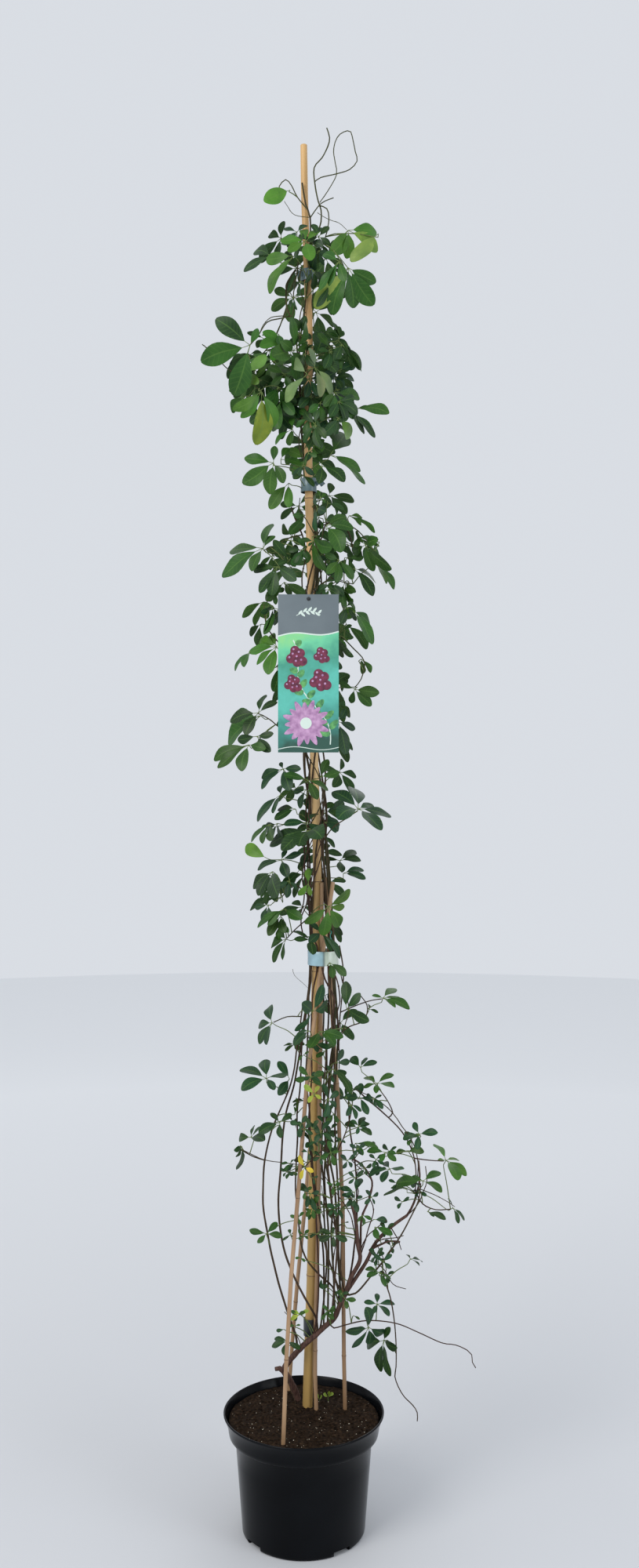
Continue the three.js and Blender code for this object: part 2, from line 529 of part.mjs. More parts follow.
// Leaves. Each row is one compound leaf: the stem that it grows on, the hub [x, z] where its
// leaflets meet, the hub's depth, and the tips [x, z] of its leaflets.
const LEAVES = [
  ['stem_crown', [-2.4, 233.3], 0, [[-7, 231.4]]],
  ['stem_crown', [7.7, 226.3], -30, [[12.7, 226], [12.9, 222.6], [7.4, 221.4], [4.8, 222.3]]],
  ['stem_crown', [13, 225.7], -42, [[8.2, 220.8]]],
  ['stem_crown', [0.3, 224.3], -34, [[-4.1, 224.5], [-2.8, 222.6], [0.2, 226.5], [1.3, 221.1]]],
  ['stem_crown', [-1.7, 221.8], -28, [[-6.6, 221.2], [-5.1, 218.1], [-6, 215.2]]],
  ['stem_crown', [-5.6, 221.8], 6, [[-10.5, 219.1], [-8.7, 222.5]]],
  ['stem_crown', [7.7, 219.8], -22, [[12.6, 217.2], [12.2, 213.2], [8.7, 212.7], [5, 211.5], [1.9, 212.6]]],
  ['stem_crown', [6.2, 220.9], -62, [[7.3, 217.4], [4.4, 216.6], [2.6, 215.8], [3.4, 222.2]]],
  ['stem_upper_left', [-9.4, 206.3], -24, [[-15.4, 210.9], [-18, 203.4], [-8, 209.2], [-12.2, 197.4]]],
  ['stem_upper_left', [-3.6, 206.5], -16, [[-7.2, 208.6], [-7.7, 206], [-5.8, 203.7]]],
  ['stem_upper_left', [-7.4, 198.2], -62, [[-11, 193.6], [-8.2, 188.8], [-5.2, 192], [-12.5, 195]]],
  ['stem_upper_left', [-10.2, 201.2], -48, [[-6.5, 204.5], [-7.8, 199.6], [-12.8, 199.8]]],
  ['stem_upper_left', [-5, 202], 24, [[-2.2, 204.7], [-1.6, 200.8], [-8, 200.2]]],
  ['stem_upper_left', [-4, 196.8], -14, [[-1.6, 194.2], [-4.4, 191.6], [-7.6, 193.2], [-1, 198.8]]],
  ['stem_upper_left', [-1.8, 205.2], -44, [[-2.3, 211.2], [0.4, 210.4], [0.7, 206.6], [-4, 207]]],
  ['stem_upper_left', [0.6, 201.2], -74, [[-3.2, 196.3], [-1.8, 203.9]]],
  ['stem_upper_right', [1.9, 202.4], -58, [[0.9, 205.8], [5.1, 197.7], [2.9, 197.2]]],
  ['stem_upper_right', [6.1, 206.9], -10, [[4, 208.3], [5.2, 210.2], [7.8, 205.1], [10.1, 201.7]]],
  ['stem_upper_right', [2, 203.6], -28, [[3.2, 208.6], [7.3, 203.8], [5.8, 201.5]]],
  ['stem_upper_right', [5.4, 198], -26, [[9.8, 197], [8.8, 193.4], [3.4, 195.6], [4.6, 193.6]]],
  ['stem_upper_right', [8.2, 194.6], -14, [[12.4, 190.1], [10.5, 190.8], [5.2, 193.2]]],
  ['stem_upper_right', [2, 192.4], -44, [[3, 188.4], [0, 189.2], [2.6, 195], [0.2, 194.6]]],
  ['stem_upper_right', [1.6, 199], 44, [[-1.6, 197], [4, 202], [0.6, 204]]],
  ['stem_upper_right', [1.4, 206.4], 42, [[4.4, 208.6], [-1.8, 208.4], [4.2, 203.8]]],
  ['stem_neck', [-5.3, 185.7], -34, [[-10.4, 186.6], [-10.7, 182.1], [-5.1, 188.7], [-5.9, 180.2],
    [-3.5, 182.2]]],
  ['stem_neck', [-2.6, 182.2], -14, [[-6, 177.7], [-2.5, 177.9]]],
  ['stem_neck', [4.6, 187.1], -24, [[7.3, 190.8], [9.9, 184.2], [10.7, 182]]],
  ['stem_neck', [3.2, 185.2], -38, [[7.1, 182.4], [2.6, 182.1], [2.6, 187.4]]],
  ['stem_neck', [0.6, 186.4], 52, [[-3, 188], [3.6, 188.8], [-2, 183.6]]],
  ['stem_shoulder_left', [-7.1, 170.8], -18, [[-5.7, 175.1], [-5, 173], [-12.9, 170.3], [-14.3, 165.8],
    [-9, 166.8]]],
  ['stem_shoulder_left', [-2.6, 168.6], -26, [[-5.3, 172.3], [-4.5, 168], [-1.2, 171.4]]],
  ['stem_shoulder_left', [-4.6, 167.6], -44, [[-8.8, 167], [-7.8, 163.1], [-1.3, 165.2]]],
  ['stem_shoulder_left', [-3.4, 164.9], -14, [[-6.6, 161.6], [0.3, 162.9], [-2.2, 162.6]]],
  ['stem_shoulder_left', [0.2, 176.6], -24, [[-2.6, 173.3], [-1.9, 176.6]]],
  ['stem_shoulder_right', [3.9, 174.8], -42, [[6.6, 170.1], [8.7, 174.3], [7.5, 176.3]]],
  ['stem_shoulder_right', [7.9, 176.5], -6, [[10, 174.8], [12.4, 173.5], [10.2, 176.2]]],
  ['stem_shoulder_right', [10.8, 171.4], -30, [[9, 173.8], [13, 172.4], [15.3, 167.2], [12.2, 166.8],
    [8.4, 170.2]]],
  ['stem_shoulder_right', [6.1, 168.8], -44, [[8.6, 165.4], [5.6, 164.9], [3.7, 169.8]]],
  ['stem_shoulder_right', [8.6, 167.3], -26, [[12.5, 165], [12.1, 162.5]]],
  ['stem_shoulder_right', [1.4, 172.8], -36, [[5, 171], [3.9, 166.9]]],
  ['stem_shoulder_right', [7.2, 165], -6, [[9.1, 163.2], [8.9, 160.2], [7, 160.6]]],
  ['stem_shoulder_right', [3.4, 171.6], 56, [[6.6, 173.6], [0, 173.8], [5.8, 168]]],
  ['stem_label_left', [-6.9, 161.5], -8, [[-10.8, 158.9], [-8.5, 157.3], [-6.2, 158.6]]],
  ['stem_label_left', [-4.4, 160.2], -32, [[-7, 155.8], [-7.7, 160.6]]],
  ['stem_label_left', [-4.7, 153.6], -26, [[-7.6, 155], [-9.6, 152.8], [-8.2, 150.5], [-6.2, 148.8]]],
  ['stem_label_left', [-4.6, 150.2], -10, [[-5.3, 145.8], [-2, 152.4]]],
  ['stem_label_left', [-7.9, 142.1], -22, [[-6.6, 145.3], [-4.6, 144], [-12.9, 140.6], [-10.2, 138.2]]],
  ['stem_label_left', [-7.5, 141.6], 16, [[-9.8, 138.2], [-13.2, 136.6]]],
  ['stem_label_left', [-8.2, 138], -32, [[-5.3, 138.5], [-11.6, 137.4], [-5.8, 135.3]]],
  ['stem_label_left', [-9.6, 136.5], -10, [[-12.1, 134.7], [-10.8, 131.9], [-15.7, 133.8], [-6.6, 135.8]]],
  ['stem_label_left', [-1.2, 147], 62, [[-5, 148.4], [2, 149.4], [-4.2, 143.6]]],
  ['stem_label_right', [8.4, 159.9], -16, [[11.6, 157.5], [12, 154.1]]],
  ['stem_label_right', [7.4, 157.6], 14, [[11, 153.2], [6.2, 154.6], [6.4, 159.6]]],
  ['stem_label_right', [8.9, 146.3], -18, [[6.1, 147.5], [8.2, 143.8], [13.2, 145.6], [11.8, 143.3]]],
  ['stem_label_right', [5.9, 140.6], -16, [[7.3, 142.8], [9, 139.3], [7.4, 134.8]]],
  ['stem_label_right', [5, 158.4], 60, [[9, 160.2], [1.6, 160.6], [7.8, 154.8]]],
  ['stem_label_right', [4.4, 146.2], 58, [[8, 148.8], [0.8, 148.6], [7, 142.6]]],
  ['stem_waist', [-3.6, 132.3], -22, [[-7.4, 130.7], [-7.4, 128.8], [-2.4, 128.5], [-4.1, 133.5]]],
  ['stem_waist', [-4, 127.8], -6, [[-8.1, 123.1], [-5.4, 124.6], [-3.9, 129.5]]],
  ['stem_waist', [-5.8, 122.7], -12, [[-7.6, 121.5], [-7.2, 119.3], [-9.2, 119.6]]],
  ['stem_waist', [1.1, 121.6], -46, [[-6, 119], [-3.9, 118.1], [-0.9, 118.8], [3.3, 120.2]]],
  ['stem_shoulder_right', [9.5, 125.3], -24, [[5, 128.4], [8.8, 129], [12.2, 126], [15.3, 124],
    [13.5, 121.6]]],
  ['stem_waist', [-6.2, 116.6], 4, [[-10.1, 119]]],
  ['stem_waist', [6.3, 116.3], -8, [[9, 118.1], [10, 116.3], [3.4, 116.5], [6.6, 114.3]]],
  ['stem_waist', [3.6, 124.6], 52, [[7, 126.6], [0, 127], [1, 121.4]]],
  ['stem_middle', [-3.9, 116.4], -10, [[-8.1, 114.7], [-2.8, 113.4], [-0.4, 117.6], [-3, 118.2]]],
  ['stem_middle', [-5.4, 114.4], -28, [[-8.9, 111.5], [-8, 110.2], [-4.5, 110.1]]],
  ['stem_middle', [-0.6, 114.9], -18, [[-3.6, 111.6], [0.6, 117.6]]],
  ['stem_middle', [-4.1, 109.9], -16, [[-9.4, 107.6], [-2.5, 111.8]]],
  ['stem_middle', [-3.4, 107.9], -38, [[-0.3, 106.1], [-6.3, 105], [-8.1, 104.6]]],
  ['stem_middle', [-3.1, 102.6], -4, [[-5.7, 101.3], [-5.4, 98.6], [-3.7, 99], [-3.9, 104.2]]],
  ['stem_middle', [4.2, 108.3], -46, [[0.1, 105.4], [3.4, 103.2], [6.2, 104.7], [8.1, 111.3],
    [7.1, 108.2]]],
  ['stem_middle', [3, 103.8], -26, [[1.1, 105.4], [0.9, 102], [4.9, 100.5], [6.3, 99.2]]],
  ['stem_band', [13.8, 92.3], -10, [[11.9, 92.8], [15.8, 94.1], [17.1, 92.3], [18.5, 90.4]]],
  ['stem_band', [7.5, 90.4], -8, [[7.3, 95.3], [9.9, 93.2], [11.4, 88.3]]],
  ['stem_band', [2.8, 86.5], -44, [[6.9, 85.5], [0.9, 83.6], [5.4, 84]]],
  ['stem_band', [6.4, 88], 54, [[9.2, 90.4], [3.4, 91], [8.6, 85]]],
  ['stem_left_arc', [-5.5, 88], 8, [[-5.9, 91], [-7.9, 87.4], [-7.8, 84.3]]],
  ['stem_left_arc', [1.4, 90], -36, [[-1.6, 86.7], [3.3, 94.7], [-0.3, 91.5]]],
  ['stem_left_arc', [-6.5, 78.3], -18, [[-11.2, 79.8], [-10.9, 76.2], [-6.7, 81.7], [-5.1, 76.3],
    [-2.8, 79.1]]],
  ['stem_left_arc', [-4.2, 70.6], -26, [[-5.8, 72.3], [-4, 67.9], [-7.9, 68.8], [-2.1, 72.2]]],
  ['stem_left_arc', [-9.2, 68], 2, [[-11.3, 67.9], [-8.6, 70.2], [-7.1, 70], [-6.8, 67.5]]],
  ['stem_left_arc', [-10.8, 66.4], -14, [[-12.2, 65.8], [-11.9, 64.6], [-11.6, 62.4]]],
  ['stem_left_arc', [-6.5, 51.2], -12, [[-9.5, 51.9], [-8.1, 49.6], [-4.6, 53.2], [-3.8, 50.7]]],
  ['stem_centre', [4.9, 80], -36, [[8, 77.4], [8.2, 75.6]]],
  ['stem_centre', [1, 78.6], -46, [[-1.5, 78], [3.5, 79.3], [-0.8, 80.4]]],
  ['stem_centre', [4.2, 74.6], -44, [[3.3, 77.4], [6.1, 76], [5.7, 73.3], [3.5, 71.5]]],
  ['stem_centre', [3, 69], -50, [[4.4, 70.8], [1.2, 70.4], [2, 67.1], [4.8, 67.6]]],
  ['stem_centre', [0.2, 62.8], -50, [[-0.9, 64.9], [-0.6, 60.7], [1.7, 62]]],
  ['stem_centre', [1.2, 58.2], -44, [[-0.5, 60], [2.7, 58.6], [0.4, 55.8]]],
  ['stem_centre', [4.4, 77.6], 66, [[7.4, 79.6], [1.4, 80], [6.6, 74.8]]],
  ['stem_right_arc', [12.8, 77.4], -14, [[10.5, 78.5], [10.3, 76.7], [12.6, 75.7], [15.7, 79]]],
  ['stem_right_arc', [20.1, 68.6], -4, [[19.2, 70.7], [23.4, 68.8], [17.3, 67.7], [19.8, 65.9]]],
  ['stem_right_arc', [14.2, 65.4], -10, [[11, 65.6], [13.4, 63.8], [16.1, 65.2], [16.1, 63.9]]],
  ['stem_right_arc', [15, 62.5], -20, [[11.3, 61.3], [13.6, 60.2], [14.2, 63.8], [17.5, 62.5]]],
  ['stem_right_arc', [20.8, 60.4], -12, [[23.9, 61.9], [24.1, 58.4], [16.1, 60], [18.8, 61.2]]],
  ['stem_right_arc', [24.8, 64], 8, [[22.8, 66.9], [23.4, 63.9], [26.9, 64.2], [28.4, 61.3]]],
  ['stem_right_arc', [26, 55.7], 8, [[25.1, 57.4], [28.1, 53.6], [27, 53]]],
  ['trunk', [5.1, 51], -22, [[2.9, 52], [5.2, 52.4], [5.3, 48.9], [7.6, 50]]],
  ['trunk', [-2.8, 32.4], -24, [[-5.1, 33], [-5.6, 31.5], [-3.4, 30], [-0.7, 31]]],
  ['trunk', [12.8, 38.9], -14, [[12.8, 40.8], [10.5, 39.3], [12.1, 37.3], [15.9, 38.9], [14.9, 36.8]]],
  ['trunk', [11.3, 34.9], -30, [[10.8, 38.4], [7.3, 34.2], [8.4, 31.3], [11.4, 31.9], [14.1, 33.9]]],
  ['trunk', [14, 32.6], -8, [[15.1, 34.9], [11, 31.7], [16.3, 31.3], [13.4, 27.1], [15.1, 26.3]]],
];

// How far forward or back along the line of sight a leaf may move to stand clear of others.
const DEPTH_SHIFTS = [0, 8, -8, 16, -16, 24, -24, 34, -34, 46, -46, 60, -60, 76, -76];
const ROOT_SHIFTS = [0, 1, -1, 2, -2, 4, -4, 6, -6];

// The ways that a leaf may face: turns about the upright and tilts up, in degrees.
function facings() {
  const out = [];
  for (let turn = -180; turn < 180; turn += 30) {
    for (const tilt of [-20, 10, 35, 60]) {
      const a = THREE.MathUtils.degToRad(turn);
      const b = THREE.MathUtils.degToRad(tilt);
      out.push(new THREE.Vector3(Math.sin(a) * Math.cos(b), -Math.cos(a) * Math.cos(b), Math.sin(b)));
    }
  }
  return out;
}
const FACINGS = facings();

// Where the line of sight through a seen point meets the plane of a leaf.
function onPlane(seen, hub, normal) {
  const eye = new THREE.Vector3(EYE.x, EYE.y, EYE.z);
  const sight = place(seen, 0).sub(eye);
  const slant = sight.dot(normal);
  if (Math.abs(slant) < 0.18 * sight.length()) return null;
  return eye.addScaledVector(sight, hub.clone().sub(eye).dot(normal) / slant);
}

function inPlaneAngles(hub, normal, tips) {
  const u = Math.abs(normal.z) > 0.9 ? new THREE.Vector3(1, 0, 0) : new THREE.Vector3(0, 0, 1);
  u.addScaledVector(normal, -u.dot(normal)).normalize();
  const v = normal.clone().cross(u);
  const rows = tips.map((tip) => {
    const reach = tip.clone().sub(hub);
    return { tip, reach: reach.length(), angle: Math.atan2(reach.dot(v), reach.dot(u)) };
  });
  rows.sort((a, b) => a.angle - b.angle);
  return { u, v, rows };
}

// The leaf faces the way that makes its leaflets most alike in length, keeps them apart,
// and lets the stalk come to it from behind.
function bestFacing(hub, seenTips, root) {
  let best = null;
  const outward = hub.clone().sub(root).setZ(0);
  if (outward.length() > 1) outward.normalize();
  const liking = outward.multiplyScalar(0.6).add(new THREE.Vector3(0, -0.5, 0.5));
  for (const normal of FACINGS) {
    const tips = seenTips.map((seen) => onPlane(seen, hub, normal));
    if (tips.some((tip) => tip === null)) continue;
    const { rows } = inPlaneAngles(hub, normal, tips);
    const reaches = rows.map((row) => row.reach);
    const mean = reaches.reduce((sum, value) => sum + value, 0) / reaches.length;
    if (Math.max(...reaches) > 88) continue;
    let cost = reaches.reduce((sum, value) => sum + Math.abs(value / mean - 1), 0) / reaches.length;
    cost += mean / 260;
    if (rows.length > 1) {
      for (let i = 0; i < rows.length; i += 1) {
        const next = rows[(i + 1) % rows.length].angle + (i + 1 === rows.length ? 2 * Math.PI : 0);
        cost += Math.max(0, 0.85 - (next - rows[i].angle)) * 0.9;
      }
    }
    const behind = -root.clone().sub(hub).normalize().dot(normal);
    if (behind < 0.12) cost += 4 * (0.12 - behind) + 1;
    cost -= 0.25 * normal.dot(liking);
    if (best === null || cost < best.cost) best = { cost, normal, tips, behind };
  }
  return best;
}

// The turns about the hub of the points between neighbouring leaflets: one in a narrow gap,
// and a row of them round the open side of a wide one.
function gapTurns(start, gap) {
  if (gap <= THREE.MathUtils.degToRad(130)) return [start + gap / 2];
  const first = start + Math.PI / 3;
  const last = start + gap - Math.PI / 3;
  const parts = Math.max(1, Math.ceil((last - first) / (Math.PI / 2)));
  return Array.from({ length: parts + 1 }, (_, i) => first + ((last - first) * i) / parts);
}

// The outline of a leaf seen from above, counter-clockwise: for each leaflet its right shoulder,
// tip and left shoulder, then the points of the gap after it, on a small ring round the hub.
function leafOutline(hub, normal, u, v, rows) {
  const outline = [];
  const ring = [];
  const leaflets = [];
  rows.forEach((row, i) => {
    const next = rows[(i + 1) % rows.length].angle + (i + 1 === rows.length ? 2 * Math.PI : 0);
    row.gap = next - row.angle;
  });
  rows.forEach((row, i) => {
    const gapBefore = rows[(i + rows.length - 1) % rows.length].gap;
    const half = Math.min(Math.min(row.gap, gapBefore) / 2 - 0.03, 1);
    const width = Math.min(0.235 * row.reach, 0.48 * row.reach * Math.tan(half));
    const forward = row.tip.clone().sub(hub).normalize();
    const across = normal.clone().cross(forward);
    const rib = hub.clone().addScaledVector(forward, 0.6 * row.reach).addScaledVector(normal,
      ARCH * row.reach);
    const first = outline.length;
    outline.push(rib.clone().addScaledVector(across, -width), row.tip.clone(),
      rib.addScaledVector(across, width));
    leaflets.push({ right: first, tip: first + 1, left: first + 2, before: ring.length - 1,
      after: ring.length });
    for (const turn of gapTurns(row.angle, row.gap)) {
      ring.push({ index: outline.length, angle: turn });
      const p = hub.clone().addScaledVector(u, HUB_RADIUS * Math.cos(turn));
      outline.push(p.addScaledVector(v, HUB_RADIUS * Math.sin(turn)));
    }
  });
  return { outline, ring, leaflets };
}

// One compound leaf as one thin closed sheet: leaflets cut to the hub, on a three-sided stalk.
function leafSolid(hub, normal, tips, root) {
  const { u, v, rows } = inPlaneAngles(hub, normal, tips);
  const { outline, ring, leaflets } = leafOutline(hub, normal, u, v, rows);
  const size = outline.length;
  const positions = [];
  const triangles = [];
  const put = (p) => positions.push(p.x, p.y, p.z);
  outline.forEach(put);
  outline.forEach((p) => put(p.clone().addScaledVector(normal, -BLADE)));
  put(hub.clone().addScaledVector(normal, 0.3));
  const both = (a, b, c) => triangles.push(a, b, c, size + a, size + c, size + b);
  for (const leaflet of leaflets) {
    const before = ring[(leaflet.before + ring.length) % ring.length].index;
    const after = ring[leaflet.after].index;
    both(before, leaflet.right, after);
    both(leaflet.right, leaflet.left, after);
    both(leaflet.right, leaflet.tip, leaflet.left);
  }
  ring.forEach(({ index }, i) => triangles.push(2 * size, index, ring[(i + 1) % ring.length].index));
  for (let i = 0; i < size; i += 1) {
    const j = (i + 1) % size;
    triangles.push(size + i, size + j, j, size + i, j, i);
  }
  // The stalk leaves the hub straight down and then runs to its root in the stem.
  const neck = Math.min(7, 0.3 * root.distanceTo(hub));
  const line = [hub.clone().addScaledVector(normal, -BLADE), hub.clone().addScaledVector(normal, -neck),
    root];
  const base = 2 * size + 1;
  const side = u.clone();
  const top = [];
  line.forEach((point, i) => {
    const before = line[Math.max(i - 1, 0)];
    const after = line[Math.min(i + 1, line.length - 1)];
    const forward = i === 0 ? normal.clone().negate() : after.clone().sub(before).normalize();
    side.addScaledVector(forward, -side.dot(forward)).normalize();
    const other = side.clone().cross(forward);
    for (let j = 0; j < 3; j += 1) {
      const angle = (2 * Math.PI * j) / 3;
      const p = point.clone().addScaledVector(side, STALK_RADIUS * Math.cos(angle));
      p.addScaledVector(other, STALK_RADIUS * Math.sin(angle));
      put(p);
      const off = p.sub(hub);
      if (i === 0) top.push({ index: base + j, angle: Math.atan2(off.dot(v), off.dot(u)) });
    }
  });
  for (let i = 0; i + 1 < line.length; i += 1) {
    for (let j = 0; j < 3; j += 1) {
      const a = base + i * 3 + j;
      const b = base + i * 3 + ((j + 1) % 3);
      triangles.push(a, a + 3, b + 3, a, b + 3, b);
    }
  }
  const last = base + (line.length - 1) * 3;
  triangles.push(last, last + 2, last + 1);
  // The underside of the hub, between the ring of the leaflets and the top of the stalk.
  const under = ring.map(({ index, angle }) => ({ index: size + index, angle }));
  for (const [a, b, c] of between(under, top)) triangles.push(a, c, b);
  return solidOf(positions, triangles);
}

// Triangles between two rings round one middle, each point of which has its angle.
function between(outer, inner) {
  const byTurn = (list) => list
    .map((item) => ({ ...item, turn: (item.angle + 4 * Math.PI) % (2 * Math.PI) }))
    .sort((a, b) => a.turn - b.turn);
  const rings = [byTurn(outer), byTurn(inner)];
  const steps = [0, 0];
  const turnAfter = (which) => {
    const list = rings[which];
    const next = steps[which] + 1;
    if (next > list.length) return Infinity;
    return next < list.length ? list[next].turn : list[0].turn + 2 * Math.PI;
  };
  const indexAt = (which, step) => rings[which][step % rings[which].length].index;
  const out = [];
  while (steps[0] < rings[0].length || steps[1] < rings[1].length) {
    const which = turnAfter(0) <= turnAfter(1) ? 0 : 1;
    out.push([indexAt(0, steps[0]), indexAt(which, steps[which] + 1), indexAt(1, steps[1])]);
    steps[which] += 1;
  }
  return out;
}

// Stems as chains of points with a radius at each.

function radiiOf(points, [first, last]) {
  const radii = [];
  let total = 0;
  const lengths = points.map((point, i) => {
    if (i > 0) total += point.distanceTo(points[i - 1]);
    return total;
  });
  for (const length of lengths) radii.push(first + ((last - first) * length) / total);
  return radii;
}

function trunkChains() {
  const chains = [{ points: smooth(route(TRUNK.routes[0]), 26), ends: TRUNK.radii, sides: 6 }];
  for (const shoot of TRUNK.shoots) {
    const step = shoot.radii[0] > 2 ? 44 : 60;
    chains.push({ points: smooth(route(shoot.rows), step),
      ends: shoot.radii, sides: shoot.radii[0] > 2.1 ? 4 : 3, shoot: true });
  }
  return chains;
}

// The way up the cane: a slow turn round it, close to it under the ties and loose between.
function climb(spec, turnIndex) {
  const points = [];
  const radius = spec.radii[1] + 0.35;
  const tied = [TIES.tie_crown.z, TIES.tie_neck.z];
  const levels = tied.filter((z) => z <= spec.climb + 10);
  for (let z = HELIX_START; z <= spec.climb; z += 68) {
    if (tied.every((tie) => Math.abs(z - tie) > 30)) levels.push(z);
  }
  levels.sort((a, b) => a - b);
  for (const z of levels) {
    const angle = THREE.MathUtils.degToRad(spec.turn + (360 * (z - HELIX_START)) / HELIX_PITCH);
    const loose = Math.min(...tied.map((tie) => Math.min(1, Math.abs(z - tie) / 70)));
    const wave = 4.5 * (1 + Math.sin(z / 61 + turnIndex * 1.7)) * loose;
    const off = along(CANE_RADIUS, z) + 0.9 + STEM_GAP + radius + wave;
    const axis = caneAt(z);
    points.push(new THREE.Vector3(axis.x + off * Math.cos(angle), axis.y + off * Math.sin(angle), z));
  }
  return points;
}

function stemChains(spec, index, trunkLine) {
  const share = spec.foot * (trunkLine.length - 1);
  const below = Math.min(Math.floor(share), trunkLine.length - 2);
  const foot = trunkLine[below].clone().lerp(trunkLine[below + 1], share - below);
  let points = [foot, ...route(spec.free)];
  if (spec.slot) {
    points.push(new THREE.Vector3(spec.slot[0], spec.slot[1], WIDE_BAND.low - 8));
    points.push(new THREE.Vector3(spec.slot[0], spec.slot[1], WIDE_BAND.high + 8));
  }
  if (spec.climb > 0) points.push(...climb(spec, index));
  points.push(...route(spec.tip));
  points = smooth(points, 75);
  const chains = [{ points, ends: spec.radii, sides: STEM_SIDES, footed: true }];
  for (const shoot of spec.shoots) {
    chains.push({ points: smooth(route(shoot.rows), 45), ends: shoot.radii, sides: 3, shoot: true });
  }
  return chains;
}

// Nearest points of two straight pieces, as the shares along each.
function nearest(p1, q1, p2, q2) {
  const d1 = q1.clone().sub(p1);
  const d2 = q2.clone().sub(p2);
  const r = p1.clone().sub(p2);
  const a = d1.dot(d1);
  const e = d2.dot(d2);
  const f = d2.dot(r);
  const c = d1.dot(r);
  const b = d1.dot(d2);
  const denominator = a * e - b * b;
  let s = denominator > 1e-9 ? THREE.MathUtils.clamp((b * f - c * e) / denominator, 0, 1) : 0.5;
  let t = (b * s + f) / e;
  if (t < 0) {
    t = 0;
    s = THREE.MathUtils.clamp(-c / a, 0, 1);
  } else if (t > 1) {
    t = 1;
    s = THREE.MathUtils.clamp((b - c) / a, 0, 1);
  }
  const gap = d1.multiplyScalar(s).add(p1).sub(d2.multiplyScalar(t).add(p2));
  return { s, t, gap };
}

// Pushes chains of different nodes apart until no two are nearer than their radii and a gap.
function bendClear(chains, clearance) {
  for (let pass = 0; pass < 400; pass += 1) {
    let moved = false;
    for (const chain of chains) if (!chain.fixed) holdInTies(chain);
    for (let a = 0; a < chains.length; a += 1) {
      for (let b = a + 1; b < chains.length; b += 1) {
        const one = chains[a];
        const two = chains[b];
        if (one.node === two.node || (one.fixed && two.fixed)) continue;
        for (let i = 0; i + 1 < one.points.length; i += 1) {
          const p1 = one.points[i];
          const q1 = one.points[i + 1];
          for (let j = 0; j + 1 < two.points.length; j += 1) {
            const p2 = two.points[j];
            const q2 = two.points[j + 1];
            const far = 60;
            if (Math.abs(p1.z - p2.z) > far * 2) continue;
            if (Math.abs(p1.x - p2.x) > far || Math.abs(p1.y - p2.y) > far) continue;
            if (one.footed && two.node === 'trunk' && i < 1) continue;
            if (two.footed && one.node === 'trunk' && j < 1) continue;
            const { s, t, gap } = nearest(p1, q1, p2, q2);
            const need = one.radii[i] + two.radii[j] + clearance;
            const distance = gap.length();
            if (distance >= need) continue;
            moved = true;
            const push = gap.lengthSq() > 1e-6 ? gap.normalize() : new THREE.Vector3(0, -1, 0);
            const amount = (need - distance) * 1.02;
            const share = one.fixed ? 0 : two.fixed ? 1 : 0.5;
            shift(one, i, s, push, amount * share);
            shift(two, j, t, push, -amount * (1 - share));
          }
        }
      }
    }
    if (!moved) return;
  }
}

// Keeps a chain inside the ties that it passes.
function holdInTies(chain) {
  chain.points.forEach((point, i) => {
    for (const tie of HOLDS) {
      if (Math.abs(point.z - tie.z) > tie.zone || !tie.members.includes(chain.node)) continue;
      const centre = tie.centre;
      const room = tie.half - chain.radii[i] - 0.8;
      const off = Math.hypot(point.x - centre.x, point.y - centre.y);
      if (off <= room) continue;
      point.x = centre.x + ((point.x - centre.x) * room) / off;
      point.y = centre.y + ((point.y - centre.y) * room) / off;
    }
  });
}

function shift(chain, i, share, direction, amount) {
  if (chain.fixed || amount === 0) return;
  const first = 1 - share;
  const scale = 1 / (first * first + share * share);
  if (!(chain.pinned && i === 0)) chain.points[i].addScaledVector(direction, amount * first * scale);
  chain.points[i + 1].addScaledVector(direction, amount * share * scale);
}

function wayIsClear(start, chain, others) {
  const radius = chain.radii[0] + STEM_GAP;
  return others.every((other) => {
    if (other.node === chain.node) return true;
    for (let i = 0; i + 1 < other.points.length; i += 1) {
      const { gap } = nearest(start, chain.points[1], other.points[i], other.points[i + 1]);
      if (gap.length() < radius + other.radii[i]) return false;
    }
    return true;
  });
}

function nearestIndex(points, target) {
  let best = 0;
  points.forEach((point, i) => {
    if (point.distanceTo(target) < points[best].distanceTo(target)) best = i;
  });
  return best;
}

function overlaps(solid, others) {
  const box = solid.boundingBox();
  return others.some(({ body, bounds }) => {
    for (let axis = 0; axis < 3; axis += 1) {
      if (box.min[axis] > bounds.max[axis] || box.max[axis] < bounds.min[axis]) return false;
    }
    return !solid.intersect(body).isEmpty();
  });
}

const slotted = STEMS.filter((spec) => spec.slot).map((spec) => spec.name);
const climbing = (z) => STEMS.filter((spec) => spec.climb > z).map((spec) => spec.name);
const HOLDS = [
  { z: TIES.tie_crown.z, centre: caneAt(TIES.tie_crown.z), half: TIES.tie_crown.halfWidth, zone: 30,
    members: ['stem_crown'] },
  { z: TIES.tie_neck.z, centre: caneAt(TIES.tie_neck.z), half: TIES.tie_neck.halfWidth, zone: 50,
    members: climbing(TIES.tie_neck.z) },
  { z: (WIDE_BAND.low + WIDE_BAND.high) / 2, centre: WIDE_BAND, half: WIDE_BAND.halfWidth, zone: 25,
    members: slotted },
];

const withBounds = (body) => ({ body, bounds: body.boundingBox() });

// Still things: pot, soil, canes, ties and label.

const nodes = [];
const still = [];
function addStill(name, solid, color, roughness) {
  nodes.push(nodeMesh(name, solid, color, roughness));
  still.push(withBounds(solid));
}

const trunkParts = trunkChains();
const trunkLine = trunkParts[0].points;
const trunkHole = bar(
  [trunkLine[0].clone().add(new THREE.Vector3(0, 1, -1)), place([-1.25, 24.5], 60)],
  TRUNK.radii[0] + 1.6,
  12,
);

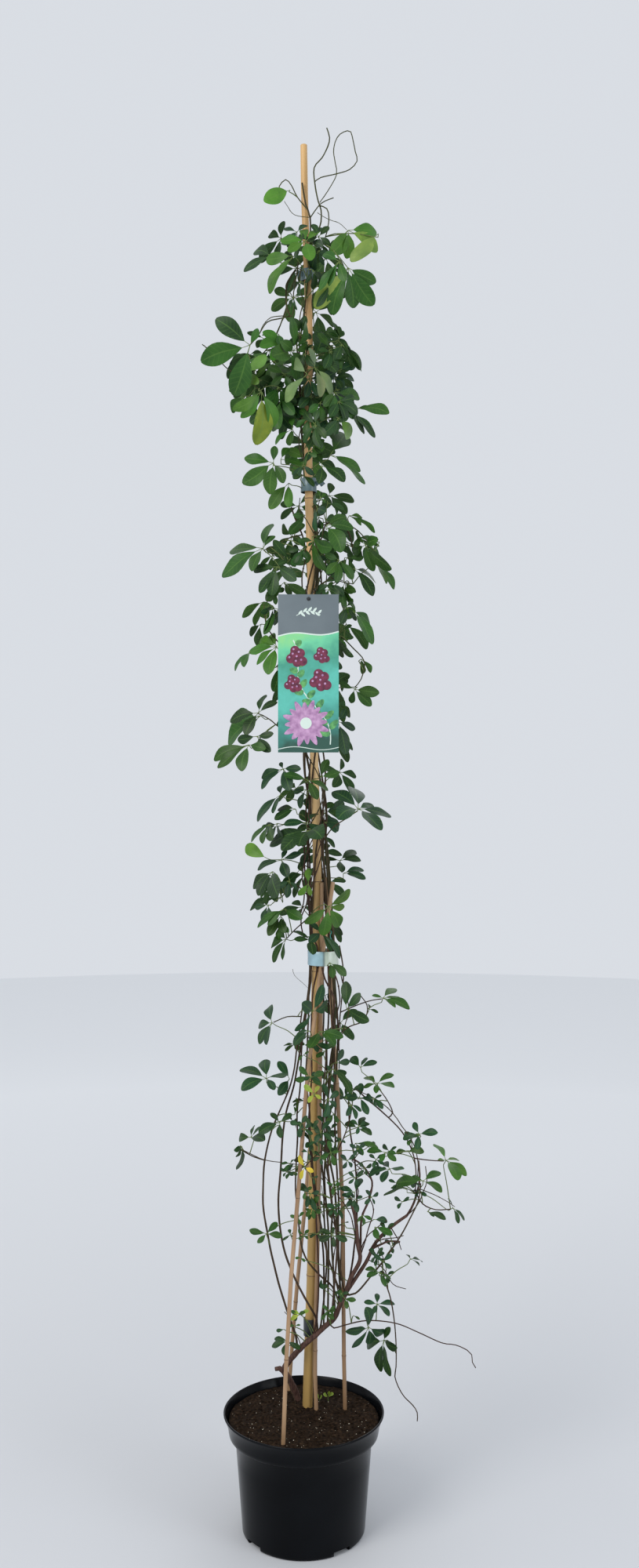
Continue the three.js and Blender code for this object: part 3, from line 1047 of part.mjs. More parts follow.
addStill('pot', pot(), 0x15181a, 0.35);
const holes = [mainCane(HOLE_CLEARANCE), trunkHole, ...Object.values(STAKES).map((spec) => stake(spec,
  HOLE_CLEARANCE))];
addStill('soil', soil(holes), 0x2a1d14, 0.95);
addStill('main_cane', mainCane(), 0xc9a46c, 0.5);
for (const [name, spec] of Object.entries(STAKES)) addStill(name, stake(spec), 0xb98f66, 0.55);
for (const [name, tie] of Object.entries(TIES)) {
  const ring = band(caneAt(tie.z), tie.halfWidth, tie.halfDepth, tie.z - tie.height / 2,
    tie.z + tie.height / 2, tie.wall);
  addStill(name, ring, tie.color, 0.4);
}
addStill('wide_band', band(WIDE_BAND, WIDE_BAND.halfWidth, WIDE_BAND.halfDepth, WIDE_BAND.low,
  WIDE_BAND.high, WIDE_BAND.wall), 0x9fbcc6, 0.35);
addStill('label', label(), 0x4f9a88, 0.4);
const loop = labelLoop();
addStill('label_loop', bar(loop.points, loop.radius, 5, true), 0x9aa3a8, 0.5);

// Growing things

const chains = [];
for (const part of trunkParts) chains.push({ ...part, node: 'trunk', fixed: true,
  radii: radiiOf(part.points, part.ends) });
STEMS.forEach((spec, index) => {
  for (const part of stemChains(spec, index, trunkLine)) {
    chains.push({ ...part, node: spec.name, radii: radiiOf(part.points, part.ends), pinned: part.footed });
  }
});
const rods = [
  { points: CANE_LINE, radii: CANE_LINE.map((p) => along(CANE_RADIUS, p.z) + 0.9), node: 'main_cane',
    fixed: true },
  { points: [...loop.points, loop.points[0]],
    radii: Array(loop.points.length + 1).fill(loop.radius + 0.4), node: 'label_loop', fixed: true },
];
for (const [name, spec] of Object.entries(STAKES)) {
  const points = smooth(route(spec.axis), 110);
  rods.push({ points, radii: points.map(() => STAKE_RADIUS + 0.5), node: name, fixed: true });
}
const mains = chains.filter((chain) => !chain.shoot);
bendClear([...mains, ...rods], STEM_GAP);
for (const chain of chains.filter((item) => item.shoot)) {
  // A side shoot starts on the nearest point of its own stem, or of a shoot before it, from
  // which nothing stands in its way.
  const own = chains.slice(0, chains.indexOf(chain)).filter((item) => item.node === chain.node);
  const starts = own.flatMap((item) => item.points.slice(1))
    .filter((point) => point.distanceTo(chain.points[0]) < 110);
  starts.sort((a, b) => a.distanceTo(chain.points[0]) - b.distanceTo(chain.points[0]));
  const best = starts.find((point) => wayIsClear(point, chain, [...mains, ...rods])) ?? starts[0];
  const offset = best.clone().sub(chain.points[0]);
  const fade = Math.min(5, chain.points.length - 1);
  for (let i = 0; i < fade; i += 1) chain.points[i].addScaledVector(offset, 1 - i / fade);
  chain.pinned = true;
}
for (const chain of mains) if (!chain.fixed) chain.fixed = true;
bendClear([...chains, ...rods], STEM_GAP);

const stemBodies = {};
for (const chain of chains) {
  const body = bar(chain.points, chain.radii, chain.sides);
  stemBodies[chain.node] = stemBodies[chain.node] ? stemBodies[chain.node].add(body) : body;
}
const trunkWide = trunkParts.map((part) => bar(part.points, radiiOf(part.points,
  part.ends).map((r) => r + 0.35), part.sides));
for (const spec of STEMS) {
  let body = stemBodies[spec.name];
  for (const wide of trunkWide) body = body.subtract(wide);
  const pieces = body.decompose();
  pieces.sort((a, b) => b.volume() - a.volume());
  stemBodies[spec.name] = pieces[0];
}

const leavesOf = {};
for (const name of Object.keys(stemBodies)) leavesOf[name] = [];

function growLeaf([stem, seenHub, depth, seenTips]) {
  const own = chains.filter((chain) => chain.node === stem);
  const others = [...still];
  for (const [name, body] of Object.entries(stemBodies)) {
    if (name !== stem) others.push(withBounds(body), ...leavesOf[name]);
  }
  for (const clearOfOwn of [true, false]) {
    const obstacles = clearOfOwn ? [...others, ...leavesOf[stem]] : others;
    for (const depthShift of DEPTH_SHIFTS) {
      const hub = place(seenHub, depth + depthShift);
      const target = hub.clone().add(new THREE.Vector3(0, 0, -22));
      let carrier = null;
      for (const chain of own) {
        const index = nearestIndex(chain.points, target);
        const distance = chain.points[index].distanceTo(target) + (chain.shoot ? 0 : 6);
        if (carrier === null || distance < carrier.distance) carrier = { chain, index, distance };
      }
      for (const rootShift of ROOT_SHIFTS) {
        const index = THREE.MathUtils.clamp(carrier.index + rootShift, 1, carrier.chain.points.length - 1);
        const end = carrier.chain.points[index];
        const root = index + 1 === carrier.chain.points.length
          ? end.clone().lerp(carrier.chain.points[index - 1], 0.1)
          : end.clone();
        if (root.distanceTo(hub) < 9) continue;
        const facing = bestFacing(hub, seenTips, root);
        if (facing === null || facing.behind < 0.1) continue;
        const solid = leafSolid(hub, facing.normal, facing.tips, root);
        if (overlaps(solid, obstacles)) continue;
        leavesOf[stem].push(withBounds(solid));
        return;
      }
    }
  }
  throw new Error(`no clear place for the leaf of ${stem} at ${seenHub}`);
}

LEAVES.forEach(growLeaf);

for (const [name, body] of Object.entries(stemBodies)) {
  const whole = wasm.Manifold.union([body, ...leavesOf[name].map((leaf) => leaf.body)]).simplify(0.22);
  const color = name === 'trunk' ? 0x4a3230 : 0x35592f;
  nodes.push(nodeMesh(name, whole, color, 0.55));
}

const group = new THREE.Group();
for (const mesh of nodes) group.add(mesh);
export default group;
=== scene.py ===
"""A chocolate vine in a nursery pot, tied to a bamboo cane and four thin stakes.

Metres, +Z up, front towards -Y. The lists are in millimetres. A place in them is x, z and depth: x
and z as an eye in front of the plant sees it, measured in the upright plane through the middle of
the pot, and its depth behind that plane.
"""
import math
import random

import bpy
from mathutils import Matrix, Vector, kdtree, noise


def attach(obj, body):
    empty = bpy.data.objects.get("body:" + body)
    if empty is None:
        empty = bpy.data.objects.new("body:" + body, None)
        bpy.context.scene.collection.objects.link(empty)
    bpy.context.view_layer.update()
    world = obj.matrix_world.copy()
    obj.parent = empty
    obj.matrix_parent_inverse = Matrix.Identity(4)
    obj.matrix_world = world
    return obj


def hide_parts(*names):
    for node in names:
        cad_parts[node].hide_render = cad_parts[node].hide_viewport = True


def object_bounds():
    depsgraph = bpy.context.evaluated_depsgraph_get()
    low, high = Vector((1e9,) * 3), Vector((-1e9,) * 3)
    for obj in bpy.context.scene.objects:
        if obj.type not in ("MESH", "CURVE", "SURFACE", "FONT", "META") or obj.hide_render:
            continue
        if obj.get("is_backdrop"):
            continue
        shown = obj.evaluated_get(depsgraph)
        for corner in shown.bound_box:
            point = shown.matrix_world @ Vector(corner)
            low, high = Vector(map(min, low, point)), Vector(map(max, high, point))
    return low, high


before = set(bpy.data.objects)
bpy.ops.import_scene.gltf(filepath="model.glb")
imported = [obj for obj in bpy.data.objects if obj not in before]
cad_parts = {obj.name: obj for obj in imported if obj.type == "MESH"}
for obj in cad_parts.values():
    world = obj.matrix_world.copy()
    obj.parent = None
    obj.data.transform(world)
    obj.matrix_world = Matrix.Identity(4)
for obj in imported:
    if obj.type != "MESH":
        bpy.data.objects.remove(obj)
cad_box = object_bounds()

# The seed of the noise that bends the stems. It keeps the shapes the same in each run.
noise.seed_set(1795752992)

EYE = Vector((0.0274, -2.370, 1.297))
MM = 0.001

# Pot and soil, in mm. The underside of the soil's surface, in metres.
WALL = 2.5
RIM_RADIUS = 140
POT_HEIGHT = 205
BASE_RADIUS = 105
WALL_TOP_RADIUS = 119.5
COLLAR_FOOT_RADIUS = 130
COLLAR_FOOT_Z = 168
LARGE_NOTCHES = [38, 128, -142, -52]
SMALL_NOTCHES = [83, -97]
SOIL_Z = 190
SOIL_MOUND = 6
SUNK_RADIUS = 0.1298
SUNK_Z = 0.186

# Cane, stems and ties, in mm.
BAMBOO_FOOT = 150
BAMBOO_STEP = 22
STAKE_RADIUS = 3.6
HELIX_PITCH = 550
HELIX_START = 1180
HELIX_STEP = 68
KNOT_RIDGE = 0.9
STEM_GAP = 0.5
STEM_ROUGHNESS = 0.35
TIE_REACH = 30
TIE_CROWN_Z = 2190
TIE_NECK_Z = 1822
CLIP_Z = 337
BAND_LOW = 979
BAND_HIGH = 1004
BAND_CENTRE = (34, 26)
BAND_RADIUS = 27

# Label, in mm, and the numbers of its materials.
LABEL_LEFT, LABEL_RIGHT, LABEL_LOW, LABEL_HIGH = -45, 61, 1352, 1628
LABEL_ASPECT = (LABEL_RIGHT - LABEL_LEFT) / (LABEL_HIGH - LABEL_LOW)
LABEL_DEPTH = -62
LOOP_Z = 1645
GROUND, BACK, HEAD, PALE, GREEN, MAROON, LILAC, HOLE_SHADE = range(8)

# Thin things, in metres.
CARD_THICKNESS = 0.75 * MM
TAPE_WIDTH = 0.009
TAPE_THICKNESS = 0.0003
STRING_RADIUS = 0.0009
LOOP_RADIUS = 0.0007
BLADE_THICKNESS = 0.00028
HALF_SHEET = (0.00026, 0.00034)
TIP_OFF = 0.0006

# Heights, in metres: the low stems end here, and the bush starts there.
LOW_STEMS_TOP = 0.95
BUSH_FOOT = 1.5

# From a leaf's hub to about where its stalk starts, and other lengths, in metres. Then the share of a
# leaflet that is stalk, and how many mm behind its place the solids may have a leaf.
STALK_DROP = Vector((0, 0, -0.022))
LONGEST_LEAFLET = 0.088
FLOOR_RADIUS = 7
STALKLET = 0.16
DEPTH_SHIFTS = [0, 8, -8, 16, -16, 24, -24, 34, -34, 46, -46, 60, -60, 76, -76]

# A shoot is the radius at both ends, then its places.
TRUNK = {
    "name": "trunk",
    "radii": (6.2, 4.2),
    "line": [(-10, 190, 66), (-11, 224, 64), (-23, 254, 54), (-34, 274, 42), (-24, 292, 24), (0, 318, 10),
        (20, 335, 4), (35, 349, 2), (53, 365, 2), (64, 390, 4), (74, 410, 6)],
    "shoots": [
        (5, 3.6, [(-32, 272, 44), (-42, 278, 46), (-50, 276, 47)]),
        (4.2, 3, [(72, 406, 6), (82, 435, 4), (98, 466, 2), (94, 495, 0), (90, 540, -2), (80, 575, -4)]),
        (3.6, 2.6, [(74, 410, 6), (94, 440, 8), (110, 465, 10), (123, 493, 12), (140, 513, 12),
            (160, 530, 12), (180, 544, 12)]),
        (2.2, 1.5, [(180, 544, 12), (192, 566, 14), (202, 605, 16), (200, 640, 16)]),
        (2, 1.6, [(120, 490, 12), (136, 496, 6), (150, 500, 4), (168, 498, 4)]),
        (2.2, 1.6, [(98, 466, 2), (99, 500, 8), (101, 540, 10), (113, 570, 10), (119, 604, 10),
            (100, 634, 10), (84, 642, 10)]),
        (1.7, 1.1, [(82, 400, 2), (98, 403, -8), (120, 435, -12), (146, 474, -14), (170, 510, -14),
            (186, 540, -12), (200, 570, -10), (204, 600, -10)]),
        (1.3, 0.9, [(139, 463, -13), (142, 436, -16), (152, 400, -18), (158, 360, -20), (161, 320, -20),
            (161, 280, -20), (159, 263, -20), (165, 245, -20), (175, 228, -20), (190, 213, -20),
            (198, 200, -20), (198, 185, -20)]),
        (1.2, 0.8, [(46, 358, 0), (54, 349, -8), (70, 353, -10), (110, 361, -22), (160, 356, -34),
            (200, 340, -36), (240, 322, -36), (265, 318, -36), (285, 309, -36), (293, 301, -36),
            (294, 288, -36), (300, 278, -36)]),
    ],
}

# Each stake: its axis, then the heights of its nodes.
STAKES = {
    "stake_front": (
        [(-36.5, 95, -97), (-36, 142, -100), (-31, 280, -88), (-22, 440, -66), (-10, 580, -47),
         (4, 760, -22), (15, 860, -8), (28, 960, 3), (37, 1030, 6), (51, 1126, 8)],
        [330, 590, 850, 1045],
    ),
    "stake_back": (
        [(-29, 120, 100), (-26, 240, 103), (-12, 420, 90), (2, 560, 77), (22, 800, 58), (33, 990, 44),
         (36, 1060, 40)],
        [360, 640, 900],
    ),
    "stake_cane": (
        [(24, 90, 18), (22, 199, 19), (19.8, 260, 24), (20, 320, 23), (23, 440, 21), (25.5, 560, 20.5),
         (27.2, 700, 19.5), (29, 840, 19), (31, 1000, 18.5), (31.5, 1125, 15.5)],
        [300, 540, 800, 1050],
    ),
    "stake_right": (
        [(73, 90, 27), (72, 204, 26), (70, 300, 26), (69, 440, 26), (68, 560, 26), (63, 660, 26),
         (59, 760, 26), (53, 840, 25.5), (46, 960, 24.5), (39.5, 1134, 24)],
        [290, 520, 770, 1020],
    ),
}

CANE_AXIS = [(6, 30, 36), (6.5, 220, 35), (9.5, 320, 34), (13.7, 440, 33), (16, 560, 32),
    (17.5, 800, 29.5), (21.5, 960, 28), (24, 1120, 26.5), (22, 1220, 25.5), (18, 1340, 24.5),
    (13, 1660, 21.5), (9, 1790, 20.5), (7.5, 1900, 19.5), (9.5, 2060, 18.5), (8, 2140, 17.5),
    (1.4, 2320, 15.5), (0, 2412, 15)]

# Each stem leaves the trunk at a share of its length, the foot, and hangs free. It may pass the band
# at a slot, which is x and y, wind round the cane from a turn in degrees up to a height, and end in a
# tip of its own.
STEMS = [
    {"name": "stem_crown", "foot": 0.93, "radii": (2.3, 1.5), "slot": (52, 18), "turn": -25, "climb": 2185,
     "free": [(59, 460, 4), (57, 560, 0), (46, 660, -6), (44, 760, -6), (54, 860, 6)],
     "tip": [(9, 2209, 8.6), (11, 2236, 4), (11, 2285, 3), (3, 2310, 3), (-3, 2346, 4)],
     "shoots": [
         (1.4, 1.1, [(11, 2240, 4), (23, 2260, 0), (30, 2280, -2), (30, 2300, -2), (25, 2315, -4),
             (20, 2340, -4), (18, 2372, -4), (32, 2390, -4), (42, 2410, -4), (45, 2425, -4),
             (40, 2442, -4)]),
         (1, 0.8, [(19, 2346, -4), (30, 2354, -2), (57, 2361, 2), (80, 2369, 4), (93, 2384, 4),
             (90, 2400, 2), (86, 2420, 0), (82, 2435, 0), (76, 2437, 0), (63, 2431, -4), (55, 2418, -10),
             (52, 2400, -14), (55, 2380, -16), (57, 2360, -16), (42, 2332, -16), (28, 2312, -12)]),
         (1.1, 0.9, [(11, 2285, 3), (30, 2310, -8), (52, 2320, -10)]),
         (1.1, 0.9, [(26, 2308, -6), (39, 2302, -12), (43, 2285, -14), (40, 2260, -14), (33, 2240, -12)]),
         (1.1, 0.9, [(6, 2300, 3), (-12, 2322, 6), (-22, 2342, 6), (-32, 2352, 4), (-43, 2340, 2),
             (-40, 2329, 0)]),
     ]},
    {"name": "stem_upper_left", "foot": 0.83, "radii": (2.2, 1.5),
     "slot": (53, 27), "turn": 5, "climb": 2060,
     "free": [(51, 460, 12), (47, 560, 10), (41, 660, 6), (52, 760, 6), (59, 860, 16)],
     "tip": [(-16, 2090, 2), (-30, 2130, 4), (-29, 2170, 6), (-14, 2195, 4)],
     "shoots": [
         (1.2, 0.9, [(-26, 2116, 3), (-43, 2111, -2), (-65, 2104, -8), (-80, 2080, -12),
             (-93, 2064, -16)]),
         (1.2, 0.9, [(-28, 2126, 4), (-50, 2075, -14), (-80, 2039, -34), (-107, 2014, -48),
             (-90, 1996, -52), (-76, 1983, -54)]),
         (1, 0.8, [(-96, 2029, -42), (-125, 2017, -40), (-150, 2038, -40), (-175, 2063, -42)]),
     ]},
    {"name": "stem_upper_right", "foot": 0.76, "radii": (2.2, 1.5),
     "slot": (50, 36), "turn": 35, "climb": 2090,
     "free": [(43, 460, 20), (40, 560, 24), (39, 660, 42), (44, 760, 42), (55, 860, 40)]},
    {"name": "stem_neck", "foot": 0.725, "radii": (2.1, 1.5), "slot": (43, 42), "turn": 65, "climb": 1885,
     "free": [(35, 460, 50), (33, 560, 50), (33, 660, 52), (39, 760, 52), (45, 880, 50)]},
    {"name": "stem_shoulder_right", "foot": 0.98, "radii": (2.1, 1.4),
     "slot": (45, 12), "turn": 306, "climb": 1700,
     "free": [(62, 460, -8), (59, 560, -12), (54, 660, -16), (52, 760, -14), (49, 880, 0)],
     "tip": [(32, 1730, 0), (39, 1752, -6), (50, 1753, -12), (68, 1748, -14), (80, 1732, -14),
         (85, 1710, -12)],
     "shoots": [
         (1.3, 0.9, [(31, 1204, 14), (49, 1224, -4), (74, 1238, -14), (94, 1250, -20)]),
         (1.2, 0.9, [(56, 1752, -13), (86, 1744, -20), (106, 1726, -22), (124, 1702, -22)]),
         (1.2, 0.9, [(26, 1700, 4), (42, 1666, -12), (62, 1652, -18), (86, 1646, -20)]),
     ]},
    {"name": "stem_shoulder_left", "foot": 0.655, "radii": (2.3, 1.4),
     "slot": (12, 19), "turn": 165, "climb": 1740,
     "free": [(22, 364, 0), (2, 400, -2), (-20, 445, 0), (-35, 490, 2), (-43, 560, 4), (-40, 620, 6),
         (-33, 710, 8), (-20, 770, 10), (0, 880, 14)],
     "tip": [(-15, 1760, 4), (-22, 1780, 6)],
     "shoots": [
         (1.2, 0.9, [(-4, 1726, 6), (-26, 1723, -4), (-50, 1712, -10), (-70, 1705, -14)]),
     ]},
    {"name": "stem_label_right", "foot": 0.69, "radii": (2, 1.4),
     "slot": (33, 48.5), "turn": 95, "climb": 1600,
     "free": [(40, 460, 36), (36, 560, 62), (30, 660, 60), (32, 760, 62), (36, 880, 54)],
     "shoots": [
         (1.3, 0.9, [(34, 1540, 6), (62, 1556, -14), (89, 1532, -22), (106, 1510, -24), (100, 1480, -24),
             (89, 1466, -24)]),
     ]},
    {"name": "stem_label_left", "foot": 0.955, "radii": (2, 1.4),
     "slot": (10.5, 30), "turn": 265, "climb": 1600,
     "free": [(54, 440, -4), (32, 520, -12), (16, 620, -14), (9, 720, -12), (6, 820, -2), (8, 920, 6)],
     "shoots": [
         (1.3, 0.9, [(31, 1358, 20), (24, 1364, 9), (4, 1374, 3), (-30, 1386, -10), (-60, 1410, -20),
             (-80, 1420, -24)]),
         (1.3, 0.9, [(-3, 1498, 22), (-16, 1510, 8), (-34, 1530, -14), (-64, 1570, -20),
             (-69, 1612, -20)]),
     ]},
    {"name": "stem_waist", "foot": 0.9, "radii": (2, 1.4), "slot": (15, 41), "turn": 134, "climb": 1310,
     "free": [(50, 420, 10), (30, 438, 2), (3, 470, -2), (-10, 510, 2), (-14, 580, 22), (-10, 660, 44),
         (-8, 760, 48), (0, 860, 48), (9, 930, 46)],
     "tip": [(12, 1340, 8)]},
    {"name": "stem_middle", "foot": 0.62, "radii": (2, 1.4), "slot": (23, 9),
     "free": [(24, 380, -8), (26, 460, -12), (22, 560, -16), (14, 680, -22), (10, 800, -14),
         (14, 920, 2)],
     "tip": [(16, 1030, 6), (9, 1080, 6), (2, 1140, 8), (1, 1190, 8)],
     "shoots": [
         (1.2, 0.9, [(2, 1100, 6), (-18, 1120, -4), (-38, 1100, -12)]),
         (1.2, 0.9, [(12, 1060, 6), (-14, 1042, -4), (-30, 1027, -10)]),
     ]},
    {"name": "stem_band", "foot": 0.865, "radii": (2, 1.3),
     "free": [(65, 460, 42), (63, 560, 50), (60, 660, 50), (59, 760, 44), (61, 860, 30), (66, 920, 18),
         (69, 970, 10)],
     "tip": [(62, 1015, 4)],
     "shoots": [
         (1.2, 0.9, [(60, 860, 30), (80, 874, 10), (102, 882, 0), (110, 896, 0), (110, 912, 0),
             (98, 929, 0)]),
         (1.2, 0.9, [(64, 900, 22), (94, 912, 2), (116, 919, -4), (136, 922, -8)]),
     ]},
    {"name": "stem_left_arc", "foot": 0.47, "radii": (2.4, 1.5),
     "free": [(-14, 334, 4), (-20, 350, 4), (-33, 390, 4), (-48, 440, 2), (-60, 500, 0), (-67, 540, 0),
         (-72, 600, 0), (-70, 640, 0), (-60, 680, 2), (-40, 730, 4), (-24, 780, 4), (-12, 840, 4),
         (-2, 910, 4)],
     "shoots": [
         (1.1, 0.9, [(-70, 640, 0), (-88, 646, -4), (-110, 658, -6), (-120, 660, -8)]),
         (1.1, 0.9, [(-7, 886, 4), (-30, 889, 6), (-53, 881, 8)]),
     ]},
    {"name": "stem_centre", "foot": 0.795, "radii": (2.2, 1.4),
     "free": [(56, 480, -18), (50, 560, -26), (39, 640, -30), (33, 720, -30), (36, 800, -26),
         (39, 870, -20)],
     "shoots": [
         (1.2, 0.9, [(36, 660, -30), (18, 646, -34), (3, 630, -36)]),
         (1.3, 0.9, [(42, 626, -29), (66, 670, -22), (82, 720, -16), (86, 760, -14)]),
     ]},
    {"name": "stem_right_arc", "foot": 0.998, "radii": (2.2, 1.3),
     "free": [(88, 470, 26), (94, 550, 32), (92, 630, 36), (84, 700, 36), (80, 760, 30)],
     "tip": [(92, 764, 22), (112, 746, 14), (135, 728, 8), (175, 690, 4), (193, 655, 2), (198, 620, 2),
         (196, 586, 2)],
     "shoots": [
         (1.2, 0.9, [(146, 716, 6), (154, 724, 2), (146, 744, -4), (132, 764, -8)]),
         (1.2, 0.9, [(195, 640, 2), (220, 639, 4), (244, 639, 6)]),
         (1.2, 0.9, [(196, 586, 2), (208, 564, 4), (230, 554, 6), (256, 555, 8)]),
     ]},
]

# Thin shoots that twine round the canes or stand out from the trunk.
THIN_SHOOTS = [
    (1.2, 0.9, [(-5, 1072, -8), (1, 1103, -12), (-3, 1135, -10), (2, 1166, -14), (12, 1193, -22),
        (22, 1214, -24), (32, 1245, -12), (38, 1271, 6)]),
    (1.3, 0.9, [(11, 1050, -12), (10, 1093, -16), (16, 1124, -22), (24, 1150, -22), (31, 1177, -14),
        (28, 1198, -20), (16, 1219, -26), (8, 1245, -18), (11, 1271, -10)]),
    (1.2, 0.8, [(0, 1029, -4), (-5, 1061, -8), (6, 1093, -18), (21, 1166, -26), (32, 1203, -16),
        (36, 1235, -6), (32, 1271, -14), (37, 1303, 4)]),
    (1.1, 0.8, [(10, 1224, -4), (28, 1256, -18), (34, 1288, -8), (22, 1320, -20), (6, 1348, -10),
        (4, 1380, 8)]),
    (1.2, 0.8, [(17, 1636, 2), (35, 1649, -8), (50, 1655, -14), (68, 1652, -18)]),
    (1.2, 0.9, [(-2, 1634, -6), (-3, 1660, -10), (3, 1686, -18), (14, 1712, -20), (24, 1731, -14),
        (35, 1749, -10), (56, 1750, -16), (72, 1744, -20), (81, 1731, -20), (84, 1712, -18)]),
    (1.1, 0.8, [(22, 1634, -6), (30, 1665, -10), (38, 1686, -14), (30, 1707, -16), (22, 1726, -14),
        (6, 1756, -16), (-7, 1774, -6), (-7, 1796, 6)]),
    (1, 0.8, [(39, 1644, 2), (38, 1686, 4), (24, 1730, 6), (24, 1776, 6), (32, 1804, -4)]),
    (1.1, 0.8, [(-3, 1865, 8), (-9, 1900, -4), (2, 1936, -18), (17, 1966, -14), (20, 2000, -2)]),
    (1.2, 0.8, [(-10, 2207, 4), (-13, 2181, -6), (-18, 2155, -10), (-16, 2134, -8), (-20, 2113, -10),
        (-24, 2086, -12)]),
    (1.1, 0.8, [(-10, 2190, -4), (-21, 2165, -10), (-29, 2149, -12), (-30, 2123, -12), (-37, 2107, -14),
        (-47, 2084, -16)]),
    (1.2, 0.9, [(-5, 2197, -6), (-9, 2165, -4), (-1, 2139, -12), (-6, 2113, -12), (-8, 2074, -10)]),
    (0.8, 0.6, [(-34, 2114, -12), (-58, 2111, -16), (-71, 2098, -20), (-78, 2080, -22)]),
    (1.1, 0.8, [(8, 2204, -8), (16, 2165, 2), (14, 2140, 6), (16, 2118, 2), (18, 2086, -4)]),
    (0.8, 0.6, [(-177, 2064, -58), (-156, 2047, -62), (-135, 2023, -58), (-116, 2010, -50)]),
    (0.6, 0.5, [(24, 2294, -12), (44, 2282, -20), (62, 2276, -26), (75, 2264, -30)]),
    (0.6, 0.5, [(9, 2286, -2), (-16, 2290, -4), (-29, 2306, -2), (-34, 2314, 0)]),
    (1.6, 1.2, [(32, 977, -6), (37, 956, -8), (48, 935, -12), (54, 914, -12), (50, 887, -8),
        (55, 864, -4), (52, 820, -2), (46, 780, -2)]),
    (1.3, 1, [(45, 978, 4), (58, 956, 0), (63, 924, 2), (58, 893, 6), (61, 864, 8), (62, 800, 10)]),
    (1, 0.8, [(63, 970, 14), (73, 930, 8), (79, 903, 4), (71, 874, 6), (60, 844, 8)]),
    (0.4, 0.3, [(-19, 974, -4), (-16, 963, -6), (-2, 950, -4), (9, 940, 0)]),
    (1.2, 0.8, [(95, 466, 2), (106, 501, -4), (129, 524, -6), (145, 535, -4)]),
    (1.2, 0.7, [(114, 483, 10), (133, 501, 2), (160, 505, -4), (174, 509, -4)]),
    (1.1, 0.7, [(153, 522, 12), (164, 502, 6), (170, 484, 4)]),
    (1.1, 0.7, [(91, 501, 0), (83, 539, -8), (71, 563, -14), (44, 601, -18), (29, 626, -18)]),
    (1.1, 0.7, [(64, 394, 4), (52, 454, -12), (56, 516, -20), (37, 562, -26), (31, 596, -26)]),
    (1.2, 0.8, [(98, 470, 2), (114, 524, -8), (122, 555, -10), (114, 578, -10), (120, 601, -8),
        (106, 619, -6), (83, 640, -4)]),
    (1.1, 0.8, [(183, 546, 12), (199, 564, 2), (214, 602, -2), (212, 630, -2)]),
    (0.9, 0.6, [(204, 590, 14), (237, 576, 8), (264, 559, 8)]),
    (1, 0.7, [(199, 610, 14), (196, 655, 4), (176, 694, 0), (137, 740, -4), (75, 771, -8),
        (60, 788, -8)]),
    (0.9, 0.6, [(-116, 663, -12), (-71, 642, -8), (-33, 636, -16), (-2, 632, -24)]),
    (0.9, 0.6, [(124, 500, 10), (136, 476, -6), (144, 450, -14), (138, 430, -18)]),
    (0.8, 0.6, [(86, 560, -2), (96, 582, -10), (90, 608, -12), (99, 630, -12)]),
    (0.9, 0.7, [(112, 467, 10), (138, 452, 20), (156, 424, 28), (178, 416, 34)]),
    (0.9, 0.6, [(-4, 314, 10), (-16, 344, -10), (-24, 364, -14), (-34, 376, -16)]),
    (0.8, 0.6, [(26, 342, 4), (32, 364, -14), (44, 378, -18)]),
    (0.7, 0.5, [(-30, 270, 42), (-24, 244, 34), (-16, 220, 30), (-12, 196, 30)]),
]

